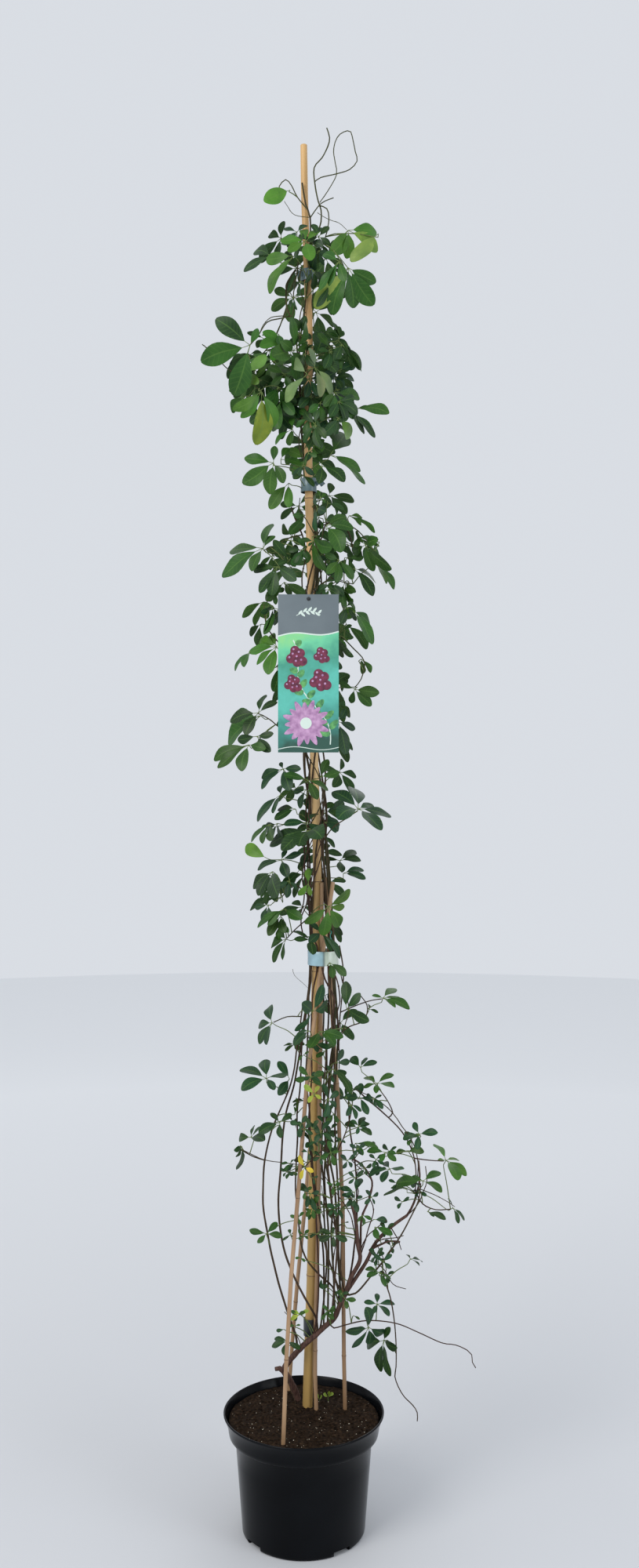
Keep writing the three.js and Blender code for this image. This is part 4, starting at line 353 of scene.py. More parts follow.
# Leaves by stem. A leaf is the x, z and depth of its hub, then the x and z of each leaflet's tip from
# the hub. The solids hold the leaves of this first list.
LEAVES = {
    "stem_crown": [
        (-24, 2333, 0, -46, -19), (77, 2263, -30, 50, -3, 52, -37, -3, -49, -29, -40),
        (130, 2257, -42, -48, -49), (3, 2243, -34, -44, 2, -31, -17, -1, 22, 27, 22, 10, -32),
        (-17, 2218, -28, -49, -6, -34, -37, -43, -66), (-56, 2218, 6, -49, -27, -31, 7),
        (62, 2209, -62, 11, -35, -18, -43, -36, -51, -28, 13),
        (77, 2198, -22, 49, -26, 45, -66, 10, -71, -27, -83, -58, -72),
    ],
    "stem_upper_left": [
        (-94, 2063, -24, -60, 46, -86, -29, 14, 29, -28, -89),
        (-36, 2065, -16, -36, 21, -41, -5, -22, -28),
        (-74, 1982, -62, -36, -46, -8, -94, 22, -62, -51, -32),
        (-102, 2012, -48, 37, 33, 24, -16, -26, -14), (-50, 2020, 24, 28, 27, 34, -12, 4, -40, -30, -18),
        (-40, 1968, -14, 24, -26, -4, -52, -36, -36, 30, 20),
        (-18, 2052, -44, -5, 60, 22, 52, 25, 14, -22, 18), (6, 2012, -74, -38, -49, -24, 27),
    ],
    "stem_upper_right": [
        (19, 2024, -58, -10, 34, 32, -47, 10, -52),
        (61, 2069, -10, -21, 14, -9, 33, 17, -18, 40, -52, 23, -47),
        (20, 2036, -28, 12, 50, 53, 2, 38, -21), (54, 1980, -26, 44, -10, 34, -46, -20, -24, -8, -44),
        (82, 1946, -14, 42, -45, 23, -38, -30, -14),
        (20, 1924, -44, 10, -40, -20, -32, 19, -24, 6, 26, -18, 22),
        (16, 1990, 44, -32, -20, 24, 30, 34, -20, -10, 50),
        (14, 2064, 42, 30, 22, -32, 20, -10, -34, 28, -26),
    ],
    "stem_neck": [
        (-53, 1857, -34, -51, 9, -54, -36, 2, 30, -6, -55, 18, -35), (-26, 1822, -14, -34, -45, 1, -43),
        (46, 1871, -24, 27, 37, 53, -29, 61, -51), (32, 1852, -38, 39, -28, -6, -31, -6, 22),
        (6, 1864, 52, -36, 16, 30, 24, 28, -28, -26, -28),
    ],
    "stem_shoulder_left": [
        (-71, 1708, -18, 14, 43, 21, 22, -58, -5, -72, -50, -19, -40),
        (-26, 1686, -26, -27, 37, -19, -6, 14, 28),
        (-46, 1676, -44, -42, -6, -32, -45, -10, -51, 33, -24),
        (-34, 1649, -14, -32, -33, 37, -20, 12, -23), (2, 1766, -24, -28, -33, -21, 0),
    ],
    "stem_shoulder_right": [
        (39, 1748, -42, 27, -47, 48, -5, 36, 15), (79, 1765, -6, 21, -17, 45, -30, 23, -3),
        (108, 1714, -30, -18, 24, 22, 10, 45, -42, 14, -46, -24, -12),
        (61, 1688, -44, 25, -34, -5, -39, -21, -24, -24, 10), (86, 1673, -26, 39, -23, 35, -48),
        (14, 1728, -36, 36, -18, 25, -59), (72, 1650, -6, 19, -18, 17, -48, -2, -44),
        (34, 1716, 56, 32, 20, -34, 22, -24, -34, 24, -36),
        (95, 1253, -24, -45, 31, -7, 37, 27, 7, 58, -13, 40, -37, -36, -18),
    ],
    "stem_label_left": [
        (-69, 1615, -8, -39, -26, -16, -42, 7, -29), (-44, 1602, -32, -26, -44, -33, 4),
        (-47, 1536, -26, -29, 14, -49, -8, -35, -31, -15, -48, -9, 23), (-46, 1502, -10, -7, -44, 26, 22),
        (-79, 1421, -22, 13, 32, 33, 19, -50, -15, -23, -39),
        (-75, 1416, 16, -23, -34, -57, -50, -55, -24), (-82, 1380, -32, 29, 5, -34, -6, 24, -27),
        (-96, 1365, -10, -25, -18, -12, -46, -61, -27, -55, -40, 30, -7),
        (-12, 1470, 62, -38, 14, 32, 24, 22, -36, -30, -34),
    ],
    "stem_label_right": [
        (84, 1599, -16, 32, -24, 36, -58), (74, 1576, 14, 36, -44, -12, -30, -10, 20),
        (89, 1463, -18, -28, 12, -7, -25, 43, -7, 29, -30), (59, 1406, -16, 14, 22, 31, -13, 15, -58),
        (50, 1584, 60, 40, 18, -34, 22, -24, -34, 28, -36),
        (44, 1462, 58, 36, 26, -36, 24, -24, -36, 26, -36),
    ],
    "stem_waist": [
        (-36, 1323, -22, -38, -16, -38, -35, 31, 0, 12, -38, -5, 12),
        (-40, 1278, -6, -41, -47, -14, -32, 1, 17),
        (-58, 1227, -12, -18, -12, -14, -34, -34, -31, 4, -27),
        (11, 1216, -46, -71, -26, -50, -35, -20, -28, 22, -14), (-62, 1166, 4, -39, 24),
        (63, 1163, -8, 27, 18, 37, 0, -29, 2, 3, -20), (36, 1246, 52, 34, 20, -36, 24, -26, -32, 24, -32),
    ],
    "stem_middle": [
        (-39, 1164, -10, -42, -17, 11, -30, 35, 12, 9, 18), (-54, 1144, -28, -35, -29, -26, -42, 9, -43),
        (-6, 1149, -18, -30, -33, 12, 27), (-41, 1099, -16, -53, -23, 16, 19),
        (-34, 1079, -38, 31, -18, -29, -29, -47, -33),
        (-31, 1026, -4, -26, -13, -23, -40, -6, -36, -8, 16),
        (42, 1083, -46, -41, -29, -8, -51, 20, -36, 39, 30, 29, -1),
        (30, 1038, -26, -19, 16, -21, -18, 19, -33, 33, -46),
    ],
    "stem_band": [
        (138, 923, -10, -19, 5, 20, 18, 33, 0, 47, -19, 22, -16), (75, 904, -8, -2, 49, 24, 28, 39, -21),
        (28, 865, -44, 41, -10, -19, -29, 26, -25), (64, 880, 54, 28, 24, -30, 30, -26, -26, 22, -30),
    ],
    "stem_left_arc": [
        (-55, 880, 8, -4, 30, -24, -6, -23, -37, -10, -38),
        (14, 900, -36, -30, -33, 19, 47, 28, 17, -17, 15),
        (-65, 783, -18, -47, 15, -44, -21, -2, 34, 14, -20, 37, 8),
        (-42, 706, -26, -16, 17, 2, -27, -37, -18, 21, 16), (-92, 680, 2, -21, -1, 6, 22, 21, 20, 24, -5),
        (-108, 664, -14, -14, -6, -11, -18, -8, -40), (-65, 512, -12, -30, 7, -16, -16, 19, 20, 27, -5),
    ],
    "stem_centre": [
        (49, 800, -36, 31, -26, 33, -44), (10, 786, -46, -25, -6, 25, 7, 20, -13, -18, 18),
        (42, 746, -44, -9, 28, 19, 14, 15, -13, -7, -31),
        (30, 690, -50, 14, 18, -18, 14, -10, -19, 18, -14), (2, 628, -50, -11, 21, -8, -21, 15, -8),
        (12, 582, -44, -17, 18, 15, 4, -8, -24, 10, -30),
        (44, 776, 66, 30, 20, -30, 24, -26, -26, 22, -28),
    ],
    "stem_right_arc": [
        (128, 774, -14, -23, 11, -25, -7, -2, -17, 29, 16, 30, -7),
        (201, 686, -4, -9, 21, 33, 2, -28, -9, -3, -27),
        (142, 654, -10, -32, 2, -8, -16, 19, -2, 19, -15),
        (150, 625, -20, -37, -12, -14, -23, -8, 13, 25, 0),
        (208, 604, -12, 31, 15, 33, -20, -47, -4, -20, 8),
        (248, 640, 8, -20, 29, -14, -1, 21, 2, 36, -27, 21, -35), (260, 557, 8, -9, 17, 21, -21, 10, -27),
    ],
    "trunk": [
        (51, 510, -22, -22, 10, -24, -10, 1, 14, 2, -21, 25, -10),
        (-28, 324, -24, -23, 6, -28, -9, -6, -24, 21, -14),
        (128, 389, -14, 0, 19, -23, 4, -7, -16, 31, 0, 21, -21),
        (113, 349, -30, -5, 35, -40, -7, -29, -36, 1, -30, 28, -10),
        (140, 326, -8, 11, 23, -30, -9, 23, -13, -6, -55, 11, -63),
    ],
}

# Smaller leaves, and leaves in the shade of others. In the bush they draw darker tones than the leaves of
# the first list, as painted shade.
MORE_LEAVES = {
    "trunk": [
        (39, 375, -16, -9, -13, 0, 10, 16, 5, 14, -12), (72, 399, -16, -13, 14, 19, -3, 4, -18),
        (-6, 371, -16, -17, -9, -12, 6, 15, 7), (138, 464, -28, 16, 12, 15, -12, -16, 12),
        (124, 524, -18, 5, -21, 31, -14), (133, 444, -26, -26, 6, -23, -7, 19, -11, 9, -24),
        (-23, 510, -40, -14, -10, -3, 10, 11, 6, 9, -7), (0, 510, -30, -10, 10, 9, 9, 8, -7, -9, -8),
        (70, 530, -20, -10, -6, 8, 2), (15, 548, -30, -7, -12, 14, 7, -12, 8), (39, 412, -20, -12, 13),
        (186, 468, 0, 20, -5, 16, -12, -7, 8), (102, 544, -20, 16, -6, 2, -16, -8, -10),
        (122, 537, -10, 24, -4), (24, 512, -34, -14, -6, 12, 7, 6, -10),
        (126, 474, -20, -10, 12, 12, 14, -8, -12), (66, 408, -30, -11, 2, 12, 2, -2, -16),
        (87, 369, -20, 11, -6), (-15, 352, -30, -13, 0, 9, 1), (-34, 345, -30, -14, -2),
        (-5, 470, -34, -10, 0, 7, -7), (128, 470, -12, -12, 12, 12, 10, -4, -14, 14, -8),
        (144, 438, -10, -12, 8, 14, 8, 4, -12), (152, 490, 6, -10, 12, 14, 8, 4, -12),
        (34, 418, -14, -4, 14, 8, 4), (44, 378, -18, -12, 8, 10, 8, 8, -8, -8, -9),
        (-10, 370, -14, -12, 8, 12, 6, -6, -10), (144, 520, -14, -10, 12, 14, 10, -4, -14),
    ],
    "stem_centre": [
        (18, 756, -60, -17, 16, 9, 14, -10, -15, 12, -8), (-5, 703, -38, -19, 3, 11, 15, -3, -23),
        (47, 654, -44, 14, 2, -4, 21, 7, -23, -18, -10), (56, 810, -20, 13, 24, 24, 3),
        (82, 738, -30, -8, -20, 9, -26, 19, -12), (36, 830, -44, -34, 12, -14, -10, 16, 14),
        (32, 670, 72, 28, 22, -28, 24, -22, -24, 24, -24), (74, 748, -20, 20, 1, -11, 1, 5, 25),
        (52, 722, -20, -22, 16, -12, -19, 8, -16), (94, 696, -20, 21, 8, 24, -12, -22, 9, 12, 20),
        (12, 672, -25, -15, 18, -9, -9, 14, -8), (89, 584, -20, 11, 25, -25, 8, -16, -4),
        (86, 573, -10, -20, 7, 8, -24, -11, -13), (-30, 620, -30, -11, 7, 8, 10, 12, -6, -6, -8),
        (0, 824, -30, -9, -10, 9, 6), (12, 786, -52, -12, -6, 16, -7, 8, 8),
        (2, 694, -40, -12, 14, 12, 12, 14, -8, -14, -10), (16, 696, -52, -12, 18, 10, 14, 12, -8),
        (24, 674, -40, -16, -10, 14, -6, 8, 14), (36, 704, -30, 14, 12, -12, 14, 10, -14),
        (38, 728, -30, 14, 8, -10, 12, 8, -14), (63, 674, -30, 10, -3, -9, 8),
        (66, 596, -24, 8, -8, -8, -8), (16, 610, -46, 9, 2, 2, -12),
        (16, 558, -44, -12, 20, 10, 20, 14, -10, -12, -16, 2, -20), (56, 558, -20, 12, -20, -16, 2),
        (-24, 634, -30, -16, 0, -8, -12, 8, 8), (48, 790, -30, -8, 16, 14, 6, 4, -14),
        (84, 762, -24, -14, 12, 14, 8, 8, -12), (96, 700, -26, -14, 10, 12, 8, -4, -14, 16, -6),
        (94, 660, -22, -14, 8, 12, 10, 8, -10, -8, -12),
        (89, 610, -18, -11, 10, 11, 10, 5, -14, -11, -10), (90, 572, -16, -10, 10, 12, 6, -6, -12),
        (54, 670, -28, -12, 10, 12, 8, 2, -14), (30, 646, -36, -12, 10, 12, 8, 2, -14, -14, -6),
        (8, 654, -40, -14, 6, 8, 12, 2, -14), (-24, 620, -26, -14, 4, 4, 14, 12, -6, -6, -12),
        (2, 586, -40, -14, 6, 12, 8, -2, -14), (52, 594, -26, -12, 8, 10, 8, -2, -14),
        (76, 640, -26, -12, 10, 12, 10, 8, -12, -8, -14),
        (106, 626, -10, -10, 10, 12, 8, 4, -12, -12, -14),
        (118, 576, -12, -10, 12, 12, 8, 6, -12, -12, -12),
        (46, 694, -28, -12, 10, 12, 10, 6, -14, -8, -12), (52, 556, -26, -12, 8, 12, 8, 6, -12, -8, -12),
    ],
    "stem_middle": [
        (8, 1123, -22, 0, 27, -18, -20, 4, -21), (12, 1024, -32, -30, 16, -29, 2, 4, -25),
        (-40, 1066, -12, -22, -34, 7, -29), (-56, 1118, -6, -20, -18, -10, -32, 10, -26),
        (-59, 1138, 4, -24, -8, -20, -30, -3, -28), (-62, 1086, -20, -24, -4, -12, -28, 8, -30),
        (-39, 1054, -24, -19, -16, -5, -30, 13, -16), (-26, 1128, -30, -20, -12, -4, -30, 14, -16),
    ],
    "stem_upper_right": [
        (52, 2004, 8, 28, 5, 14, -16), (60, 1936, -40, 22, -33, -27, -30, -7, -31),
        (90, 1951, 2, 31, 1, 59, -8), (2, 2048, -20, -24, -18, -8, -34, 18, -22, 14, 16),
        (9, 2004, -30, -23, -6, -7, -32, 15, -30, 23, -2),
        (12, 1974, -22, -20, -20, 2, -34, 20, -20, 16, 10),
        (28, 1962, -36, -19, -16, 4, -32, 26, -12, 18, 18), (36, 1998, 20, -18, -22, 8, -36, 28, -14),
        (10, 1936, -30, -24, -16, -6, -30, 18, -20, 20, 10, -18, 14),
        (46, 2056, -20, -22, 28, 28, -4, 20, -34, -14, -26),
        (39, 2034, 10, 33, 0, 19, -18, -13, -16, 7, 28), (56, 1986, 0, 40, -12, 32, -32, 12, -38, 0, 24),
        (60, 1964, -30, 34, -22, 14, -34, -14, -26, 28, 8),
        (44, 1926, -24, 15, -18, -10, -20, 30, -12, 18, 14), (18, 1906, -34, 14, -24, -12, -22, 18, 8),
        (12, 1985, -5, 4, -29, 23, 10, -12, -28), (62, 2074, -26, -10, 28, -19, 10, 7, 14),
        (66, 2064, -22, 12, -21, 33, -45, 16, -10, -12, -30),
        (46, 2052, -34, 12, -36, -10, -30, 26, -16, -20, 2),
        (36, 1980, 28, 38, 8, 32, -28, 2, -40, -28, -24, -16, 34),
        (60, 2018, 16, 30, 12, 28, -18, 2, -36, -30, -18),
        (18, 2036, 22, 32, 20, 28, -18, -14, -32, -32, 4), (40, 1936, 14, 36, 0, 20, -24, -12, -30),
    ],
    "stem_neck": [
        (-1, 1854, -40, -17, -25, 18, -18, 13, 23), (-40, 1863, 2, 13, 21, 36, -9),
        (8, 1874, -40, -6, -22, 15, -5, 6, 18), (16, 1886, -26, -16, 10, 14, -12, 20, 12, -4, 24),
        (-2, 1836, -36, -14, -7, 20, -20), (29, 1796, -26, 9, 8, -5, 14, 9, -8),
    ],
    "stem_shoulder_right": [
        (48, 1647, -14, -27, -19, 22, -22), (74, 1720, 12, 8, -38, 28, -27),
        (24, 1778, -26, -2, -40, 15, -6, -5, 26), (123, 1682, -16, 34, -46, 21, -36),
        (42, 1787, 0, 28, -12, -9, 19, -12, -13), (124, 1720, 5, 8, -36, -17, -34),
        (26, 1762, -20, -6, -24, 8, -18, -8, 14, 13, 14),
        (18, 1720, -30, -28, 1, -10, -8, 14, 12, 30, -10), (44, 1686, -30, -2, -24, 16, -6, -16, 8),
        (56, 1674, -20, 2, -28, 22, -8, -14, -12), (94, 1726, -20, 20, -14, 26, -2, -4, -16),
        (114, 1716, 10, 18, -4, 8, -20, -10, -18, 14, 12),
        (70, 1636, -10, -16, -20, 16, -20, 20, 0, 2, -38),
        (44, 1636, -26, -22, -7, -6, -12, 18, -10, 6, 14),
        (50, 1716, 10, 26, 18, 30, -16, -6, -28, -20, 22), (76, 1692, 6, 28, 0, 12, -28, -18, -22),
        (36, 1692, 20, 24, 18, 22, -20, -20, -16, -22, 16),
    ],
    "stem_waist": [
        (29, 1309, -18, 33, 9, 14, 31), (3, 1287, -24, -10, -33, -21, -4),
        (5, 1229, -22, -40, -3, 21, -17, 19, 17), (69, 1141, 10, 36, 5, 39, -10),
        (-14, 1253, -14, -37, -18, -32, -1), (6, 1304, -34, -41, 8, 37, -18, 18, -34),
        (36, 1230, 0, 21, -18, 27, -4), (34, 1208, 10, 20, -22, -11, 17),
        (-46, 1228, -4, -20, -12, -8, -30, 10, -24),
    ],
    "stem_left_arc": [
        (10, 866, -22, -23, -6, -27, -26), (-25, 782, 8, -20, 31, -20, -28),
        (-16, 720, -10, -1, 14, 3, 30), (-20, 708, -6, 6, -12, -6, 8, 8, 4),
        (-10, 540, -20, -14, 4, 10, 10, 4, -12),
    ],
    "stem_label_left": [
        (-74, 1576, 14, -21, -18, -6, -40), (-91, 1529, -4, -29, -35, -13, -28),
        (-54, 1608, -30, -21, -10, -14, -48, 4, -34), (-50, 1630, -20, -14, -14, 1, -20, 16, 8),
    ],
    "stem_label_right": [
        (60, 1554, -30, 27, -35, 8, -37), (100, 1515, -14, 1, -26, 17, -24),
        (74, 1606, -20, 18, -24, -10, -30, 12, 14), (70, 1566, -14, 14, -16, -7, -20, 14, 8),
    ],
    "stem_crown": [
        (26, 2242, 4, 21, -5, 19, -28, -7, -36),
        (-6, 2236, -30, -33, 7, -20, -14, 3, 22, 22, -10, -8, -22),
        (12, 2244, -14, 20, 24, 22, -8, -8, -24, -20, 12), (5, 2236, -44, 7, -26),
        (26, 2228, -20, -12, -36, 20, -12, 10, -26), (16, 2194, -32, 0, -34, -14, -22, 12, -18),
        (-5, 2174, -16, -13, -12, -1, -24), (-17, 2146, -14, 5, -22, -7, -16),
        (44, 2170, -40, -22, -40, 12, -36, -10, -30), (6, 2222, 30, -36, 14, -24, -22, 14, -32, 38, -2),
        (46, 2196, 10, 34, -12, 14, -40, -20, -32), (26, 2252, -26, 18, 18, -12, 22, -20, -6, 20, -14),
        (-12, 2260, -20, -24, 6, -12, -12, 18, 12),
    ],
    "stem_upper_left": [
        (-20, 1916, -20, -29, -27, -4, -28, 6, 28), (-76, 2042, 10, -54, -12, -32, -50, -16, -30),
        (-70, 2074, -6, -29, 11, -12, -16), (-44, 2082, -20, -29, -2, 5, -20),
        (-34, 2012, -6, -29, 14, -22, -22, 14, -26, 26, 3), (-26, 2054, -36, -30, -10, 14, -54, 24, -28),
        (-80, 2005, -20, -43, -33, -18, -41, 11, -39, 28, -12),
        (-45, 1990, -30, -11, -40, 13, -36, -25, -24, 23, -14),
        (-36, 1975, -2, -23, -36, 6, -49, 24, -41, 24, -11),
        (-65, 1956, 20, -29, -29, 1, -40, 23, -36, 29, -6), (-96, 2045, -34, -36, -41, -30, -11, 22, 5),
        (-104, 1974, -24, -22, -28, 0, -36, 24, -30), (-60, 2054, 30, -20, -20, 20, -26, 0, -38, 24, 6),
        (-6, 2082, -30, -13, 28, 9, 32, 20, -6, -22, -20, 10, -28),
        (-10, 1988, 30, -22, -18, -4, -34, 18, -26, -14, 20),
        (-52, 2036, 26, -42, 2, -32, -30, -4, -42, 28, -30, 12, 30),
        (-68, 1994, 16, -38, -10, -16, -38, 18, -34, 34, -2),
        (-26, 1962, 22, -30, -12, -8, -36, 20, -26, 30, 6),
        (-86, 2020, 28, -34, 20, -36, -12, -10, -34, 20, -22),
        (-30, 2002, 8, -24, -26, 18, -28, -16, 26, 26, 20), (-44, 1946, 12, -32, -14, -10, -34, 24, -30),
        (-102, 2004, 12, -28, -22, -10, -38, 20, -32),
    ],
    "stem_right_arc": [
        (99, 802, -6, -17, 18, 10, 18, 29, 10), (216, 551, 0, 32, -14, 12, -9),
        (97, 750, -6, 4, 25, 24, -8, 15, -30, -27, 0), (120, 750, -10, 18, -20),
        (180, 590, -5, -28, 3, -40, -11, -2, -1), (181, 657, 5, -20, -4, 29, -2),
        (90, 670, 0, 17, -5, 13, -21, 40, -8), (176, 608, 6, 14, -16, 28, -16, -4, 8),
        (132, 626, 6, -8, 12, 12, 0, -6, -12), (204, 586, 2, 10, -8, -10, -10, -16, 0),
        (112, 664, 4, 12, 8, 12, -12), (122, 746, -16, -12, 10, 14, 8, 4, -12),
        (126, 642, -12, -12, 8, 12, 8, -6, -14, 14, -8), (149, 656, 0, -11, 12, 13, 8, 5, -12),
        (162, 600, -8, -14, 6, 12, 8, -6, -12), (188, 678, 6, -12, 12, 14, 8, -6, -12),
        (172, 568, -4, -14, 8, 12, 8, -8, -12),
    ],
    "stem_band": [
        (45, 985, -30, 29, -23, 5, -27), (114, 904, 0, -1, 9, 16, -6),
        (20, 844, -40, -12, 12, 14, 12, 4, -15, 24, -8),
    ],
    "stem_shoulder_left": [
        (3, 1710, -30, -25, -30, -13, 14, 3, -28), (-4, 1706, -30, -22, -3, -12, -24, 10, -16, 10, 6),
        (-54, 1696, 10, -22, -16, -4, -26, 20, -2), (-36, 1694, 18, -30, 14, -20, -20, 22, -18, 26, 16),
    ],
}

# Leaves, and single leaflets, with a tone of their own, by the place of the hub or tip.
TONED = {
    "bright": [(-62, 1166), (8, 1123), (-24, 2333), (-102, 2012), (82, 1903)],
    "fresh": [(42, 1083), (77, 2263), (248, 640), (-74, 1982), (-36, 2065), (-52, 1920)],
    "pale": [(6, 2012), (19, 2024)],
    "lime": [(18, 756), (-6, 371)],
    "yellow": [(2, 628)],
    "blue": [(95, 1253)],
    "light": [(130, 2257), (19, 2126), (129, 2226)],
    "mid": [(77, 2198), (62, 2209), (138, 923), (90, 1951), (108, 1714), (-94, 2063)],
    "dark": [(-56, 2218), (-154, 2109)],
    "yellowing": [(-82, 1888)],
}
TONES = {spot: tone for tone, spots in TONED.items() for spot in spots}

TONE_COLORS = {
    "dark": (0.013, 0.044, 0.010),
    "blue": (0.013, 0.050, 0.020),
    "mid": (0.026, 0.084, 0.012),
    "fresh": (0.050, 0.145, 0.015),
    "bright": (0.090, 0.225, 0.022),
    "light": (0.150, 0.250, 0.050),
    "pale": (0.150, 0.225, 0.100),
    "lime": (0.260, 0.340, 0.040),
    "yellowing": (0.200, 0.270, 0.020),
    "yellow": (0.560, 0.440, 0.040),
}

# How many leaves grow behind the canes between two heights in m, and how long their leaflets
# are in m.
BACK_LEAVES = [(7, 0.50, 0.94, 0.029), (9, 1.02, 1.34, 0.044), (8, 1.36, 1.62, 0.046),
               (7, 1.64, 1.84, 0.050), (9, 1.87, 2.10, 0.054), (6, 2.13, 2.28, 0.054)]


# Geometry

def place(seen, depth):
    """The point, in metres, that is seen at this x and z and lies at this depth."""
    k = (depth * MM - EYE.y) / -EYE.y
    x = EYE.x + (seen[0] * MM - EYE.x) * k
    return Vector((x, depth * MM, EYE.z + (seen[1] * MM - EYE.z) * k))


def route(rows):
    """The points of rows of x, z and depth."""
    return [place(row[:2], row[2]) for row in rows]


def smooth(points, step):
    """Points at even steps, in metres, on a smooth curve through the points."""
    out = [points[0].copy()]
    for i in range(len(points) - 1):
        a = points[max(i - 1, 0)]
        b = points[i]
        c = points[i + 1]
        d = points[min(i + 2, len(points) - 1)]
        count = max(1, round((c - b).length / step))
        for j in range(1, count + 1):
            t = j / count
            out.append(b + 0.5 * t * (c - a + t * (2 * a - 5 * b + 4 * c - d + (3 * (b - c) + d - a) * t)))
    return out


def along(rows, z):
    """The value at a height, from rows of height and value."""
    if z <= rows[0][0]:
        return rows[0][1]
    for (z0, v0), (z1, v1) in zip(rows, rows[1:]):
        if z <= z1:
            return v0 + (v1 - v0) * (z - z0) / (z1 - z0)
    return rows[-1][1]


def point_at(line, z):
    """The point of a rising line at a height."""
    for a, b in zip(line, line[1:]):
        if z <= b.z or b is line[-1]:
            return a.lerp(b, (z - a.z) / (b.z - a.z))


def circle(radius, count):
    """The x and y of points round the Z axis."""
    for j in range(count):
        angle = 2 * math.pi * j / count
        yield radius * math.cos(angle), radius * math.sin(angle)


def forward_at(points, i):
    """The way a line of points runs at one of them."""
    return (points[min(i + 1, len(points) - 1)] - points[max(i - 1, 0)]).normalized()


def link(thing):
    bpy.context.scene.collection.objects.link(thing)
    return thing


class Shape:
    """Gathers faces for one mesh: corners, faces, a material number for each face, a tint
    for each corner and a place on the blade for each corner."""

    def __init__(self):
        self.verts = []
        self.faces = []
        self.slots = []
        self.tints = []
        self.places = []

    def corner(self, point, tint=(1, 1, 1), spot=(0, 0)):
        self.verts.append(tuple(point))
        self.tints.append(tint)
        self.places.append(spot)
        return len(self.verts) - 1

    def face(self, corners, slot=0):
        self.faces.append(tuple(corners))
        self.slots.append(slot)

    def skin(self, rings, slot=0, flip=False):
        """Faces from each ring to the next. A ring may be a single corner."""
        for low, high in zip(rings, rings[1:]):
            sides = max(len(low), len(high))
            for j in range(sides):
                k = (j + 1) % sides
                corners = (low[j % len(low)], low[k % len(low)], high[k % len(high)], high[j % len(high)])
                if flip:
                    corners = corners[:1] + corners[:0:-1]
                self.face(dict.fromkeys(corners), slot)

    def bar(self, rings, slot=0):
        """A skin with a flat face on each end."""
        self.skin(rings, slot)
        self.face(reversed(rings[0]), slot)
        self.face(rings[-1], slot)

    def tube(self, points, radii, sides, tint=(1, 1, 1), slot=0):
        """A round bar along the points; each ring may have its own radius."""
        side = forward_at(points, 0).orthogonal().normalized()
        rings = []
        length = 0
        for i, point in enumerate(points):
            if i:
                length += (point - points[i - 1]).length
            forward = forward_at(points, i)
            side = (side - forward * side.dot(forward)).normalized()
            up = forward.cross(side)
            rings.append([self.corner(point + (side * x + up * y) * radii[i], tint, (j / sides, length))
                          for j, (x, y) in enumerate(circle(1, sides))])
        self.bar(rings, slot)

    def piece(self, name, materials, record_slot, nodes=(), flat=False):
        """Makes the object, on the root body, in the place of the nodes."""
        mesh = bpy.data.meshes.new(name)
        mesh.from_pydata(self.verts, [], self.faces)
        for finish in materials:
            mesh.materials.append(finish)
        mesh.polygons.foreach_set("material_index", self.slots)
        mesh.polygons.foreach_set("use_smooth", [not flat] * len(self.faces))
        tints = mesh.attributes.new("tint", "FLOAT_COLOR", "POINT")
        tints.data.foreach_set("color", [v for tint in self.tints for v in (*tint, 1.0)])
        layer = mesh.uv_layers.new(name="blade")
        corners = [loop.vertex_index for loop in mesh.loops]
        layer.data.foreach_set("uv", [v for index in corners for v in self.places[index]])
        mesh.update()
        made = link(bpy.data.objects.new(name, mesh))
        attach(made, "root")
        if nodes:
            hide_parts(*nodes)
        return made


# Materials

def material(name, roughness, color=None, specular=None, coat=0.0):
    """A new material, with its node tree and its shader."""
    made = bpy.data.materials.new(name)
    made.use_nodes = True
    tree = made.node_tree
    shader = tree.nodes["Principled BSDF"]
    shader.inputs["Roughness"].default_value = roughness
    if color:
        shader.inputs["Base Color"].default_value = (*color, 1)
    if specular is not None:
        shader.inputs["Specular IOR Level"].default_value = specular
    if coat:
        shader.inputs["Coat Weight"].default_value = coat
    return made, tree, shader


def add(tree, kind, values=None, **settings):
    """A new node, with its settings and the values of its inputs."""
    node = tree.nodes.new(kind)
    for key, value in settings.items():
        setattr(node, key, value)
    for key, value in (values or {}).items():
        node.inputs[key].default_value = value
    return node


def connect(tree, value, socket):
    """Links an output to a socket, or sets the socket to a plain value."""
    if hasattr(value, "is_output"):
        tree.links.new(value, socket)
    else:
        socket.default_value = value


def paint(tree, shader, color):
    tree.links.new(color, shader.inputs["Base Color"])


def ramp(tree, factor, stops):
    """A colour ramp, from rows of position and colour."""
    node = add(tree, "ShaderNodeValToRGB")
    band = node.color_ramp
    while len(band.elements) < len(stops):
        band.elements.new(0.5)
    for element, (position, color) in zip(band.elements, stops):
        element.position = position
        element.color = (*color, 1)
    tree.links.new(factor, node.inputs["Fac"])
    return node.outputs["Color"]


def mix(tree, blend, factor, a, b):
    """Two colours blended by a factor."""
    node = add(tree, "ShaderNodeMix", data_type="RGBA", blend_type=blend)
    for index, value in ((0, factor), (6, a), (7, b)):
        connect(tree, value, node.inputs[index])
    return node.outputs[2]


def maths(tree, operation, a, b=0.0, c=0.0):
    """The output of a maths node. Its inputs are outputs or plain values."""
    node = add(tree, "ShaderNodeMath", operation=operation)
    for socket, value in zip(node.inputs, (a, b, c)):
        connect(tree, value, socket)
    return node.outputs[0]


def axes_of(tree, kind, output, **settings):
    """The x, y and z outputs of a node that gives a place."""
    node = add(tree, "ShaderNodeSeparateXYZ")
    tree.links.new(add(tree, kind, **settings).outputs[output], node.inputs[0])
    return node.outputs


def object_axes(tree):
    return axes_of(tree, "ShaderNodeTexCoord", "Object")


def blade_axes(tree):
    return axes_of(tree, "ShaderNodeUVMap", "UV", uv_map="blade")


